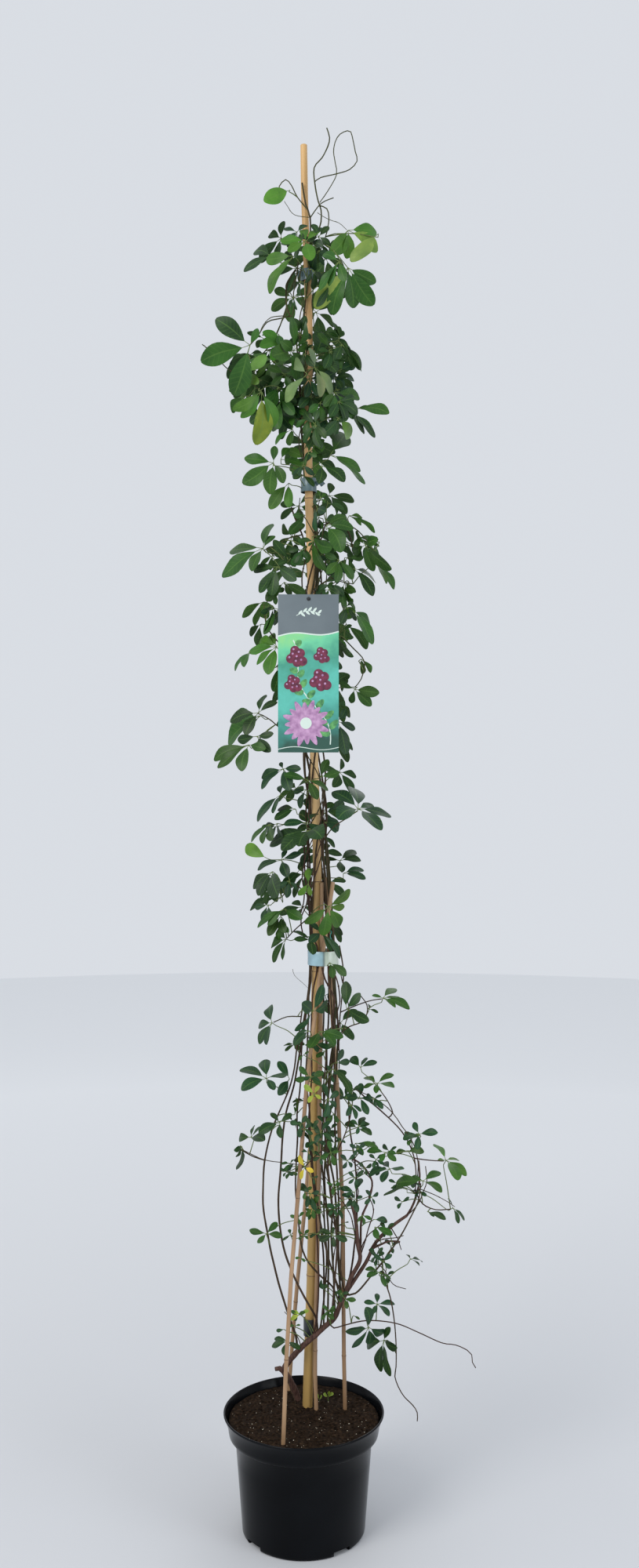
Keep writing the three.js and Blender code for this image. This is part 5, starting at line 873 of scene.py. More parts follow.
def corner_tint(tree):
    return add(tree, "ShaderNodeAttribute", attribute_name="tint").outputs["Color"]


def noise_factor(tree, scale, stretch=(1, 1, 1), detail=3.0):
    """Noise in object space, drawn out along an axis by a small stretch number."""
    coordinates = add(tree, "ShaderNodeTexCoord")
    mapping = add(tree, "ShaderNodeMapping", {"Scale": stretch})
    texture = add(tree, "ShaderNodeTexNoise", {"Scale": scale, "Detail": detail})
    tree.links.new(coordinates.outputs["Object"], mapping.inputs["Vector"])
    tree.links.new(mapping.outputs["Vector"], texture.inputs["Vector"])
    return texture.outputs["Fac"]


def bump(tree, shader, height, strength, distance):
    """Relief from a height."""
    node = add(tree, "ShaderNodeBump", {"Strength": strength, "Distance": distance})
    tree.links.new(height, node.inputs["Height"])
    tree.links.new(node.outputs["Normal"], shader.inputs["Normal"])


def mottled(name, stops, scale, roughness, stretch=(1, 1, 1), relief=0.0, coat=0.0, detail=3.0,
            specular=None):
    """A material with colour from noise, and relief from the same noise."""
    made, tree, shader = material(name, roughness, specular=specular, coat=coat)
    factor = noise_factor(tree, scale, stretch, detail)
    paint(tree, shader, ramp(tree, factor, stops))
    if relief:
        bump(tree, shader, factor, 0.6, relief)
    return made


def leaf_veins(tree):
    """The midrib, and fainter side veins that slant forward from it, from the place on the blade."""
    blade = blade_axes(tree)
    off = maths(tree, "ABSOLUTE", blade["X"])
    rib = maths(tree, "LESS_THAN", off, 0.07)
    slant = maths(tree, "MULTIPLY_ADD", off, -0.16, blade["Y"])
    wave = maths(tree, "SINE", maths(tree, "MULTIPLY", slant, 52.0))
    side_veins = maths(tree, "MULTIPLY", maths(tree, "GREATER_THAN", wave, 0.82), 0.28)
    return maths(tree, "MAXIMUM", maths(tree, "MULTIPLY", rib, 0.8), side_veins)


def leaf_material(name, roughness, specular, vein_color, haze=0.0):
    """Tinted green in soft patches, with paler veins. The haze is a dull green over it."""
    made, tree, shader = material(name, roughness, specular=specular)
    veins = leaf_veins(tree)
    patches = ramp(tree, noise_factor(tree, 38.0), shades((0.66, 0.72, 0.70), (1.30, 1.20, 1.05)))
    base = mix(tree, "MULTIPLY", 1.0, corner_tint(tree), patches)
    if haze:
        base = mix(tree, "MIX", haze, base, (0.09, 0.17, 0.06, 1))
    paint(tree, shader, mix(tree, "MIX", maths(tree, "MULTIPLY", veins, 0.42), base, (*vein_color, 1)))
    bump(tree, shader, maths(tree, "MULTIPLY", veins, -1.0), 0.35, 0.0006)
    return made


def bark_material(name, stops, relief):
    """Streaked along the stem, with the tint of each corner over it."""
    made, tree, shader = material(name, 0.68, specular=0.12)
    factor = noise_factor(tree, 420.0, (1, 1, 0.16), 4.0)
    paint(tree, shader, mix(tree, "MULTIPLY", 1.0, ramp(tree, factor, stops), corner_tint(tree)))
    bump(tree, shader, factor, 0.5, relief)
    return made


def graded(name, roughness, axis, scale, start, stops, grain, haze, **settings):
    """Colour that runs along one axis, under a haze of noise. The grain is the noise's settings."""
    made, tree, shader = material(name, roughness, **settings)
    level = maths(tree, "MULTIPLY_ADD", object_axes(tree)[axis], scale, start)
    cover = ramp(tree, noise_factor(tree, *grain), haze)
    paint(tree, shader, mix(tree, "MULTIPLY", 1.0, ramp(tree, level, stops), cover))
    return made


def shades(dark, light):
    """A ramp from one colour to another."""
    return [(0.3, dark), (0.7, light)]


LEAF_TOP = leaf_material("leaf_top", 0.42, 0.24, (0.11, 0.22, 0.04))
LEAF_UNDER = leaf_material("leaf_underside", 0.6, 0.06, (0.17, 0.25, 0.09), haze=0.38)
BARK = bark_material("bark", shades((0.040, 0.021, 0.018), (0.140, 0.078, 0.060)), 0.0012)
SHOOT = bark_material("shoot", shades((0.60, 0.60, 0.60), (1.2, 1.2, 1.15)), 0.0004)
POT = mottled("pot_plastic", [(0.35, (0.0020, 0.0024, 0.0031)), (0.7, (0.0038, 0.0046, 0.0060))],
              9.0, 0.2, specular=0.10)
SOIL = mottled("potting_mix", [(0.32, (0.006, 0.0035, 0.002)), (0.55, (0.020, 0.0115, 0.0065)),
                               (0.78, (0.052, 0.031, 0.017))],
               190.0, 0.95, relief=0.0025, detail=7.0, specular=0.08)
PERLITE = mottled("perlite", shades((0.42, 0.37, 0.27), (0.74, 0.69, 0.56)), 300.0, 0.9, relief=0.0006)
STAKE = mottled("stake_bamboo", shades((0.22, 0.125, 0.062), (0.42, 0.265, 0.145)),
                60.0, 0.5, (1, 1, 0.06), 0.0003)
NODE_SCAR = mottled("node_scar", shades((0.10, 0.055, 0.028), (0.24, 0.14, 0.07)), 200.0, 0.6)
TIE = mottled("tape", shades((0.060, 0.105, 0.115), (0.150, 0.225, 0.245)), 60.0, 0.35, coat=0.2)
CLIP = material("clip_plastic", 0.35, (0.022, 0.026, 0.030))[0]
LOOP = material("loop_plastic", 0.4, (0.045, 0.052, 0.056))[0]
STRING = mottled("green_string", shades((0.02, 0.16, 0.13), (0.05, 0.30, 0.24)), 600.0, 0.8)
# Pale blue on the left part, cream green on the right. The darker left edge and the dark stripe of a fold
# between them are painted shade.
BAND = graded(
    "band_plastic", 0.25, "X", 18.0, -0.11,
    [(0.0, (0.16, 0.30, 0.37)), (0.18, (0.36, 0.56, 0.64)), (0.46, (0.30, 0.48, 0.54)),
     (0.52, (0.14, 0.20, 0.19)), (0.58, (0.50, 0.58, 0.48)), (1.0, (0.58, 0.65, 0.55))],
    (60.0,), shades((0.82, 0.84, 0.84), (1.08, 1.07, 1.07)), coat=0.4)
# Warm tan above, greener and browner below, with long streaks.
CANE = graded(
    "cane_bamboo", 0.42, "Z", 0.41, 0.0,
    [(0.1, (0.36, 0.235, 0.080)), (0.3, (0.46, 0.300, 0.105)), (0.42, (0.62, 0.405, 0.175)),
     (0.55, (0.70, 0.48, 0.240)), (0.8, (0.66, 0.41, 0.190)), (1.0, (0.66, 0.42, 0.185))],
    (45.0, (1, 1, 0.05), 4.0), shades((0.68, 0.66, 0.60), (1.12, 1.1, 1.08)), specular=0.35)


# Pot and soil

def lathe(profile, sides):
    """A turned shape from rows of radius and height. A radius of 0 is a single corner."""
    shape = Shape()
    rings = []
    for r, z in profile:
        spots = [(x, y, z * MM) for x, y in circle(r * MM, sides if r else 1)]
        rings.append([shape.corner(spot, spot=(j / sides, z * MM) if r else (0, 0))
                      for j, spot in enumerate(spots)])
    shape.skin(rings)
    return shape


def cut_notches(pot):
    """Drainage notches through the bottom corner."""
    cutters = []
    notches = [(turn, 34, 17) for turn in LARGE_NOTCHES] + [(turn, 14, 11) for turn in SMALL_NOTCHES]
    for degrees, width, height in notches:
        bpy.ops.mesh.primitive_cube_add(size=1)
        cutter = bpy.context.object
        cutter.scale = (width * MM, 30 * MM, height * MM)
        cutter.rotation_euler = (0, 0, math.radians(degrees))
        angle = math.radians(degrees - 90)
        reach = (BASE_RADIUS + 2) * MM
        cutter.location = (reach * math.cos(angle), reach * math.sin(angle), 0)
        cutters.append(cutter)
    for cutter in cutters:
        modifier = pot.modifiers.new("notch", "BOOLEAN")
        modifier.operation = "DIFFERENCE"
        modifier.solver = "EXACT"
        modifier.object = cutter
    bpy.context.view_layer.update()
    graph = bpy.context.evaluated_depsgraph_get()
    mesh = bpy.data.meshes.new_from_object(pot.evaluated_get(graph))
    pot.modifiers.clear()
    pot.data = mesh
    for cutter in cutters:
        bpy.data.objects.remove(cutter)


def make_pot():
    """One wall with a step under its collar, notched at the bottom."""
    outside = [
        (0, 0), (BASE_RADIUS - 1.5, 0), (BASE_RADIUS + 0.8, 1.4), (BASE_RADIUS + 2, 4), (107.2, 9),
        (109.4, 36), (113, 82), (116.4, 126), (WALL_TOP_RADIUS - 0.4, COLLAR_FOOT_Z - 4),
        (WALL_TOP_RADIUS + 0.6, COLLAR_FOOT_Z - 2.6), (COLLAR_FOOT_RADIUS - 1.5, COLLAR_FOOT_Z - 1),
        (COLLAR_FOOT_RADIUS, COLLAR_FOOT_Z + 0.6), (131, 174), (132.5, 184), (135.6, 193), (138.6, 200.2),
    ]
    rim = [
        (RIM_RADIUS - 0.2, 202.2), (RIM_RADIUS - 0.1, 203.8), (RIM_RADIUS - 1.2, POT_HEIGHT),
        (RIM_RADIUS - 2.6, POT_HEIGHT - 0.4),
    ]
    inside = [
        (136.5, POT_HEIGHT - 1.6), (133.4, 194), (130, 184),
        (COLLAR_FOOT_RADIUS - WALL, COLLAR_FOOT_Z + WALL), (WALL_TOP_RADIUS - WALL, COLLAR_FOOT_Z),
        (BASE_RADIUS - 1, 5), (BASE_RADIUS - 4, WALL), (0, WALL),
    ]
    pot = lathe(outside + rim + inside, 112).piece("pot_fine", [POT], "pot", ["pot"])
    cut_notches(pot)
    for polygon in pot.data.polygons:
        polygon.use_smooth = abs(polygon.normal.z) < 0.95


def soil_height(x, y):
    """The height of the soil's surface, in mm, at a place in mm."""
    r = math.hypot(x, y)
    low = along([(0, SOIL_Z + SOIL_MOUND), (72, SOIL_Z + 2), (130.6, SOIL_Z)], r)
    lumps = 1.6 * math.sin(x / 13) * math.cos(y / 11) * (1 if r < 125 else 0)
    crumb = noise.noise(Vector((x / 7, y / 7, 3))) + 0.5 * noise.noise(Vector((x / 3, y / 3, 8)))
    return low + lumps + 1.6 + 2.0 * crumb


def make_soil():
    """A surface that dips and rises, over a flat disc that is sunk in the soil."""
    shape = Shape()
    rings = []
    for r in [*range(0, 115, 6), 119, 124, 128, 130.4]:
        rings.append([shape.corner((x * MM, y * MM, soil_height(x, y) * MM))
                      for x, y in circle(r, 120 if r else 1)])
    rings.append([shape.corner((x, y, SUNK_Z)) for x, y in circle(SUNK_RADIUS, 120)])
    shape.skin(rings, flip=True)
    shape.face(reversed(rings[-1]))
    shape.piece("soil_surface", [SOIL], "soil")


def lump(shape, centre, size, rng):
    """A rough pebble of eight faces, a little flat."""
    turn = rng.uniform(0, math.pi)
    spin = (math.cos(turn), math.sin(turn))
    corners = []
    for axis in ((1, 0, 0), (-1, 0, 0), (0, 1, 0), (0, -1, 0), (0, 0, 1), (0, 0, -1)):
        reach = size * rng.uniform(0.75, 1.2)
        x = axis[0] * spin[0] - axis[1] * spin[1]
        y = axis[0] * spin[1] + axis[1] * spin[0]
        corners.append(shape.corner(centre + Vector((x, y, axis[2] * 0.7)) * reach))
    for a, b, c in ((0, 2, 4), (2, 1, 4), (1, 3, 4), (3, 0, 4), (2, 0, 5), (1, 2, 5), (3, 1, 5), (0, 3, 5)):
        shape.face((corners[a], corners[b], corners[c]))


def make_crumbs():
    """Lumps of soil and pale grains, strewn on the surface."""
    rng = random.Random(41)
    kinds = (("crumbs", SOIL, 900, 0.8, 3.0), ("perlite_grains", PERLITE, 170, 0.35, 1.3))
    for name, finish, count, low, high in kinds:
        shape = Shape()
        for _ in range(count):
            r = 127 * math.sqrt(rng.uniform(0, 1))
            angle = rng.uniform(0, 2 * math.pi)
            x, y = r * math.cos(angle), r * math.sin(angle)
            size = rng.uniform(low, high) * (1 if r < 122 else 0.6)
            z = soil_height(x, y) + 0.25 * size
            lump(shape, Vector((x, y, z)) * MM, size * MM, rng)
        shape.piece(name, [finish], "soil", flat=True)


# Cane, stakes and ties

CANE_LINE = smooth(route(CANE_AXIS), 0.12)
CANE_RADIUS = [(190, 8.9), (500, 8.6), (1000, 7.7), (1700, 7.2), (2050, 6.8), (2412, 6)]
CANE_NODES = [430, 690, 968, 1126, 1390, 1600, 1800, 2035, 2262]


def cane_at(z):
    """The middle of the cane, in metres, at a height in mm."""
    return point_at(CANE_LINE, z * MM)


def bamboo(node, name, line, radius_at, knots, ridge, finish, record_slot):
    """A bamboo bar: a ridge and a dark scar at each knot, a shallow waist under it."""
    top = line[-1].z / MM
    plain = range(BAMBOO_FOOT, math.ceil(top), BAMBOO_STEP)
    levels = [(z, 0) for z in plain if all(abs(z - knot) > 12 for knot in knots)]
    scars = Shape()
    for knot in knots:
        levels += [(knot - 9, 0), (knot - 4, 0.35 * ridge), (knot - 1.6, ridge), (knot, 0.75 * ridge),
                   (knot + 1.4, -0.1), (knot + 3.5, 0.45 * ridge), (knot + 7, 0)]
        scar = [(knot - 1.9, -0.2), (knot - 1.6, ridge + 0.05), (knot - 0.2, ridge * 0.8 + 0.08),
                (knot + 0.6, -0.2)]
        scars.tube(*bar_rows(line, radius_at, scar), 20)
    shape = Shape()
    shape.tube(*bar_rows(line, radius_at, sorted(levels) + [(top - 0.6, 0), (top, -0.5)]), 20)
    shape.piece(name + "_fine", [finish], record_slot, [node])
    scars.piece(name + "_fine_scars", [NODE_SCAR], record_slot)


def bar_rows(line, radius_at, rows):
    """Points and radii, in metres, from rows of height and added radius."""
    return [point_at(line, z * MM) for z, _ in rows], [(radius_at(z) + more) * MM for z, more in rows]


def make_canes():
    """The cane, which is thinner above, and the thin stakes."""
    bamboo("main_cane", "cane", CANE_LINE, lambda z: along(CANE_RADIUS, z), CANE_NODES, 0.8, CANE, "cane")
    for node, (axis, knots) in STAKES.items():
        bamboo(node, node, smooth(route(axis), 0.11), lambda z: STAKE_RADIUS, knots, 0.45, STAKE, "stake")


def strap(node, centre, radius, low, high, wall, waist, finish, record_slot):
    """A closed strap round the canes, a little drawn in along its middle."""
    shape = Shape()
    heights = [low, low + 0.4, (low + high) / 2, high - 0.4, high]
    section = [(z, wall - (0.25 if z in (low, high) else 0)) for z in heights]
    section += [(z, 0.1) for z in reversed(heights)]
    columns = []
    for ux, uy in circle(1, 64):
        column = []
        for z, out in section:
            reach = radius + (out - waist * math.sin(math.pi * (z - low) / (high - low)))
            spot = Vector((centre[0] + reach * ux, centre[1] + reach * uy, z))
            column.append(shape.corner(spot * MM))
        columns.append(column)
    shape.skin(columns + columns[:1], flip=True)
    shape.piece(node + "_fine", [finish], record_slot, [node])


def tape_end(name, points):
    """A flat strip of tape along the points, its width upright."""
    shape = Shape()
    rows = []
    upright = Vector((0, 0, 1))
    for i, point in enumerate(points):
        forward = forward_at(points, i)
        side = (upright - forward * upright.dot(forward)).normalized() * TAPE_WIDTH / 2
        up = forward.cross(side).normalized() * TAPE_THICKNESS / 2
        signs = ((-1, -1), (1, -1), (1, 1), (-1, 1))
        rows.append([shape.corner(point + a * side + b * up) for a, b in signs])
    shape.bar(rows)
    shape.piece(name, [TIE], "tie")


def make_straps():
    crown = cane_at(TIE_CROWN_Z) / MM
    neck = cane_at(TIE_NECK_Z) / MM
    clip = cane_at(CLIP_Z) / MM
    strap("tie_crown", crown, 11.5, TIE_CROWN_Z - 10, TIE_CROWN_Z + 10, 0.8, 0.5, TIE, "tie")
    strap("tie_neck", neck, 13.5, TIE_NECK_Z - 12, TIE_NECK_Z + 12, 0.8, 0.5, TIE, "tie")
    strap("clip_low", clip, 9.7, CLIP_Z - 15, CLIP_Z + 15, 1.5, 0.0, CLIP, "clip")
    strap("wide_band", BAND_CENTRE, BAND_RADIUS, BAND_LOW, BAND_HIGH, 0.8, 0.3, BAND, "band")


def make_tape_ends():
    """The loose end of each tape tie, from its knot on, in steps in mm."""
    for name, z, knot, steps in (
        ("tape_end_neck", TIE_NECK_Z, (12.5, -7.5, 1), [(4, -3, 3), (9, -5, 2), (13, -5, -3)]),
        ("tape_end_crown", TIE_CROWN_Z, (-8, -9, -1), [(-5, -3, 2), (-10, -4, -3)]),
    ):
        middle = cane_at(z) / MM
        start = Vector((middle.x + knot[0], middle.y + knot[1], z + knot[2])) * MM
        tape_end(name, [start] + [start + Vector(step) * MM for step in steps])


def make_string():
    """The bit of string by the tops of the stakes, in steps in metres."""
    start = place((45, 1042), 14)
    steps = ((0.003, -0.004, -0.003), (0.001, -0.005, -0.010), (0.004, -0.003, -0.017))
    line = smooth([start] + [start + Vector(step) for step in steps], 0.002)
    string = Shape()
    string.tube(line, [STRING_RADIUS] * len(line), 6)
    string.piece("string_bit", [STRING], "tie")


# Label

def label_patch(shape, outline, lift, slot):
    """A flat patch of the label: outline in shares of its width and height, lift in mm, larger for
    what lies on top. The card itself has no lift, and its own material on the back."""
    low = place((LABEL_LEFT, LABEL_LOW), LABEL_DEPTH)
    high = place((LABEL_RIGHT, LABEL_HIGH), LABEL_DEPTH)
    rings = []
    for depth in (-lift * MM, 0.0 if lift else CARD_THICKNESS):
        ring = []
        for a, b in outline:
            spot = (low.x + a * (high.x - low.x), low.y + depth, low.z + b * (high.z - low.z))
            ring.append(shape.corner(spot, spot=(a, b)))
        rings.append(ring)
    front, back = rings
    shape.face(front, slot)
    shape.face(reversed(back), slot if lift else BACK)
    for i in range(len(outline)):
        k = (i + 1) % len(outline)
        shape.face((front[k], front[i], back[i], back[k]), slot)


def turned(outline, foot, degrees):
    """An outline turned about its foot and put at a place on the label."""
    turn = math.radians(degrees)
    out = []
    for x, y in outline:
        out.append((foot[0] + x * math.cos(turn) - y * math.sin(turn),
                    foot[1] + (x * math.sin(turn) + y * math.cos(turn)) * LABEL_ASPECT))
    return out


def petal(foot, length, width, degrees):
    """A petal or leaf from its foot, as an outline in shares of the label's width."""
    outline = []
    for i in range(22):
        t = 2 * math.pi * i / 22
        share = 0.5 - 0.5 * math.cos(t)
        outline.append((length * share, -width * math.sin(t) * (1 - 0.35 * share)))
    return turned(outline, foot, degrees)


def disc(centre, radius):
    """A round patch, as an outline."""
    turns = [-t * math.pi / 9 for t in range(18)]
    return turned([(radius * math.cos(turn), radius * math.sin(turn)) for turn in turns], centre, 0)


def ribbon(points, width):
    """A thin line on the label, as one closed outline."""
    left, right = [], []
    for i, (x, y) in enumerate(points):
        a = points[max(i - 1, 0)]
        b = points[min(i + 1, len(points) - 1)]
        along_x, along_y = b[0] - a[0], (b[1] - a[1]) / LABEL_ASPECT
        size = math.hypot(along_x, along_y)
        off = (-along_y / size * width / 2, along_x / size * width / 2)
        left.append((x + off[0], y + off[1] * LABEL_ASPECT))
        right.append((x - off[0], y - off[1] * LABEL_ASPECT))
    return right + left[::-1]


def wave_edge(low, high):
    """The edge between the label's plain head and its picture."""
    xs = [i / 24 for i in range(25)]
    return [(x, low + (high - low) * x + 0.013 * math.sin(2 * math.pi * x)) for x in xs]


def card_material():
    """Soft greens: light above, turquoise in the middle, dark at the foot."""
    made, tree, shader = material("label_ground", 0.35, coat=0.25)
    spot = blade_axes(tree)
    haze = noise_factor(tree, 24.0, detail=4.0)
    level = maths(tree, "ADD", spot["Y"], maths(tree, "MULTIPLY_ADD", haze, 0.5, -0.25))
    level = maths(tree, "MULTIPLY_ADD", spot["X"], -0.10, level)
    paint(tree, shader, ramp(tree, level, [
        (0.0, (0.015, 0.070, 0.050)), (0.14, (0.035, 0.220, 0.180)), (0.34, (0.090, 0.440, 0.360)),
        (0.52, (0.045, 0.270, 0.190)), (0.66, (0.130, 0.520, 0.290)), (0.8, (0.230, 0.580, 0.220)),
    ]))
    return made


def print_finish(name, dark, light, scale):
    return mottled(name, shades(dark, light), scale, 0.35, coat=0.25)


def label_finishes():
    """The materials of the label, in the order of their numbers."""
    return [
        card_material(),
        material("label_back", 0.45, (0.60, 0.62, 0.61))[0],
        print_finish("label_header", (0.075, 0.098, 0.112), (0.125, 0.155, 0.170), 10.0),
        material("label_pale", 0.35, (0.560, 0.660, 0.600), coat=0.25)[0],
        print_finish("label_leaf", (0.020, 0.130, 0.050), (0.120, 0.380, 0.110), 150.0),
        print_finish("label_maroon", (0.060, 0.006, 0.022), (0.190, 0.020, 0.060), 160.0),
        print_finish("label_lilac", (0.260, 0.120, 0.260), (0.520, 0.310, 0.500), 110.0),
        # The dark of the hole in the card, which is painted shade.
        material("label_hole_shade", 0.5, (0.010, 0.012, 0.014))[0],
    ]


def draw_head(shape):
    """A plain grey head with a small sprig, and a pale line under it."""
    edge = wave_edge(0.735, 0.765)
    label_patch(shape, [*edge, (1, 1), (0, 1)], 0.10, HEAD)
    label_patch(shape, ribbon(edge, 0.022), 0.16, PALE)
    sprig = [(0.30 + 0.40 * t / 10, 0.865 + 0.030 * math.sin(t / 10 * 3.0)) for t in range(11)]
    label_patch(shape, ribbon(sprig, 0.010), 0.16, PALE)
    for i in range(1, 10):
        label_patch(shape, petal(sprig[i], 0.085, 0.022, 48 if i % 2 else -40), 0.18, PALE)


def draw_vine(shape):
    """A pale vine with leaves on both sides."""
    vine = [(0.86 - 0.70 * t / 20 + 0.10 * math.sin(t / 2.4), 0.05 + 0.66 * t / 20) for t in range(21)]
    label_patch(shape, ribbon(vine, 0.018), 0.12, PALE)
    for i in range(2, 20, 2):
        for side in (1, -1):
            turn = 100 + 62 * side + 5 * i % 17
            label_patch(shape, petal(vine[i + (side < 0)], 0.21 - 0.005 * i, 0.062, turn), 0.15, GREEN)


def draw_berries(shape):
    """Four bunches of berries, each berry with a pale spot."""
    for x, y, size in ((0.31, 0.60, 0.078), (0.72, 0.61, 0.060), (0.70, 0.45, 0.082), (0.25, 0.43, 0.066)):
        for i in range(7):
            turn = i * 2.4
            reach = size * (0.25 + 0.85 * math.sqrt(i / 2.6))
            centre = (x + reach * math.cos(turn), y + reach * math.sin(turn) * LABEL_ASPECT)
            label_patch(shape, disc(centre, size), 0.20 + 0.02 * i, MAROON)
            shine = (centre[0] - 0.3 * size, centre[1] + 0.3 * size * LABEL_ASPECT)
            label_patch(shape, disc(shine, size * 0.22), 0.36, LILAC)


def draw_flower(shape):
    """One large daisy, and a pale line at the foot of the label."""
    middle = (0.46, 0.185)
    for i in range(16):
        lift = 0.38 + 0.008 * (i // 2) + 0.07 * (i % 2)
        label_patch(shape, petal(middle, 0.40 if i % 2 else 0.35, 0.072, 22.5 * i + 4), lift, LILAC)
    label_patch(shape, disc(middle, 0.095), 0.54, PALE)
    foot_line = [(x, y - 0.715) for x, y in wave_edge(0.735, 0.748)]
    label_patch(shape, ribbon(foot_line, 0.012), 0.56, PALE)


def make_label():
    """The card with its print, one finish for each colour, and the tie that it hangs on."""
    shape = Shape()
    label_patch(shape, [(0, 0), (1, 0), (1, 1), (0, 1)], 0.0, GROUND)
    for draw in (draw_head, draw_vine, draw_berries, draw_flower):
        draw(shape)
    # A dark disc on the card where the hole is: painted shade, and no hole is cut.
    label_patch(shape, disc((0.505, 0.971), 0.034), 0.20, HOLE_SHADE)
    shape.piece("label_fine", label_finishes(), "label", ["label"], flat=True)
    make_loop(place((8.5, 1620), LABEL_DEPTH))


def make_loop(hole):
    """The tie from the hole back past both sides of the cane."""
    cane = cane_at(LOOP_Z)
    reach = (along(CANE_RADIUS, LOOP_Z) + 2.3) * MM
    right = [
        (cane.x + reach * 0.55, cane.y + reach * 0.85, 1.646),
        (cane.x + reach, cane.y, 1.645),
        (cane.x + reach * 0.9, cane.y - 0.014, 1.640),
    ]
    left = [(2 * cane.x - x, y, z) for x, y, z in reversed(right)]
    ends = [Vector((0, -0.0022, 0)), Vector((0.0015, 0.003, 0.0032))]
    points = [hole + ends[0], hole + ends[1] * Vector((-1, 1, 1))]
    points += [Vector(spot) for spot in left + right]
    points += [hole + ends[1], hole + ends[0]]
    line = smooth(points, 0.004)
    shape = Shape()
    shape.tube(line, [LOOP_RADIUS] * len(line), 8)
    shape.piece("label_loop_fine", [LOOP], "label_loop", ["label_loop"])


# Stems

def chain_radii(points, ends):
    """The radius at each point, from the radius at both ends."""
    lengths = [0.0]
    for a, b in zip(points, points[1:]):
        lengths.append(lengths[-1] + (b - a).length)
    return [(ends[0] + (ends[1] - ends[0]) * at / lengths[-1]) * MM for at in lengths]


def climb(spec, index):
    """The way of a stem round the cane, close under the ties and loose between them."""
    tied = (TIE_CROWN_Z, TIE_NECK_Z)
    levels = [z for z in tied if z <= spec["climb"] + 10]
    for z in range(HELIX_START, spec["climb"] + 1, HELIX_STEP):
        if all(abs(z - tie) > TIE_REACH for tie in tied):
            levels.append(z)
    out = []
    for z in sorted(levels):
        angle = math.radians(spec["turn"] + 360 * (z - HELIX_START) / HELIX_PITCH)
        loose = min(min(1, abs(z - tie) / 70) for tie in tied)
        wave = 4.5 * (1 + math.sin(z / 61 + index * 1.7)) * loose
        clear = along(CANE_RADIUS, z) + KNOT_RIDGE + STEM_GAP + spec["radii"][1] + STEM_ROUGHNESS
        off = (clear + wave) * MM
        axis = cane_at(z)
        out.append(Vector((axis.x + off * math.cos(angle), axis.y + off * math.sin(angle), z * MM)))
    return out


def stem_points(spec, index, trunk_line):
    """A stem's way from its foot on the trunk to its tip."""
    share = spec["foot"] * (len(trunk_line) - 1)
    below = min(int(share), len(trunk_line) - 2)
    points = [trunk_line[below].lerp(trunk_line[below + 1], share - below), *route(spec["free"])]
    if "slot" in spec:
        points += [Vector((*spec["slot"], z)) * MM for z in (BAND_LOW - 8, BAND_HIGH + 8)]
    if "climb" in spec:
        points += climb(spec, index)
    return points + route(spec.get("tip", []))


def nearest_on(points, target):
    """The point nearest to the target."""
    return min(points, key=lambda point: (point - target).length_squared)


def sway(point, index):
    """A stem bends a little where it hangs free between the trunk and the band."""
    free = min(max(min(point.z - 0.40, 0.94 - point.z) / 0.12, 0), 1)
    at = Vector((index * 5.3, 0, point.z * 7))
    far = Vector((index * 3.1, 4, point.z * 19))
    off = 0.0075 * noise.noise_vector(at) + 0.0025 * noise.noise_vector(far)
    return point + free * Vector((off.x, off.y, 0))


def grow_chains():
    """The parts of every stem, by node: points, radius at both ends, and whether it is a side shoot."""
    trunk_line = smooth(route(TRUNK["line"]), 0.026)
    chains = {}
    for index, spec in enumerate([TRUNK] + STEMS, -1):
        if spec is TRUNK:
            points = smooth(route(TRUNK["line"]), 0.006)
        else:
            points = [sway(point, index) for point in smooth(stem_points(spec, index, trunk_line), 0.012)]
        own = [(points, spec["radii"], False)]
        for first, last, rows in spec.get("shoots", []):
            points = smooth(route(rows), 0.008)
            before = [point for chain in own for point in chain[0][1:]]
            offset = nearest_on(before, points[0]) - points[0]
            fade = min(14, len(points) - 1)
            for i in range(fade):
                points[i] += offset * (1 - i / fade) ** 1.5
            own.append((points, (first, last), True))
        chains[spec["name"]] = own
    return chains


def stem_tint(z, ends, extra=0.0):
    """Green and thin above, brown and woody below."""
    green = Vector((0.062, 0.066, 0.028))
    brown = Vector((0.058, 0.030, 0.023))
    share = min(max((z - 0.9) / 1.3, 0), 0.8)
    share = min(1, share + extra + (0.3 if ends[0] < 1.2 else 0))
    return tuple(brown.lerp(green, share))


def make_thin_shoots():
    """Thin wavering shoots with a swelling at each node."""
    shape = Shape()
    for first, last, rows in THIN_SHOOTS:
        points = []
        for point in smooth(route(rows), 0.006):
            shift = Vector((noise.noise(point * 55), noise.noise(point * 55 + Vector((9, 0, 0))), 0))
            points.append(point + 0.0011 * shift)
        radii = chain_radii(points, (first, last))
        radii = [radius * (1 + 0.16 * noise.noise(point * 160)) for radius, point in zip(radii, points)]
        tint = stem_tint(points[0].z, (first, last))
        shape.tube(points, radii, 7, tint)
        for i in range(6, len(points) - 3, 9):
            knot = [points[i] + (points[i + 1] - points[i]) * share for share in (-0.35, 0, 0.35)]
            shape.tube(knot, [radii[i] * size for size in (0.8, 1.45, 0.8)], 7, tint)
    shape.piece("thin_shoots", [SHOOT], "foliage")


def make_seedling():
    """The small weed on the soil behind the cane's foot."""
    rng = random.Random(5)
    wood, blades = Shape(), Shape()
    facing = Vector((0.1, -0.6, 0.8)).normalized()
    for foot, head, tips in (
        ((41, 209), (42, 227), [(52, 233), (34, 232), (45, 237)]),
        ((27, 209), (27, 224), [(22, 231), (32, 229)]),
    ):
        hub = place(head, 56)
        line = smooth([place(foot, 58), place(((foot[0] + head[0]) / 2 + 1, 218), 56), hub], 0.004)
        wood.tube(line, [0.0005] * len(line), 6, (0.14, 0.22, 0.06))
        for tip in tips:
            leaflet(blades, hub, place(tip, 50), facing, 0.0034, (0.24, 0.34, 0.05), rng)
    wood.piece("seedling_stems", [SHOOT], "foliage")
    blades.piece("seedling_blades", [LEAF_TOP, LEAF_UNDER], "foliage")


# Leaves

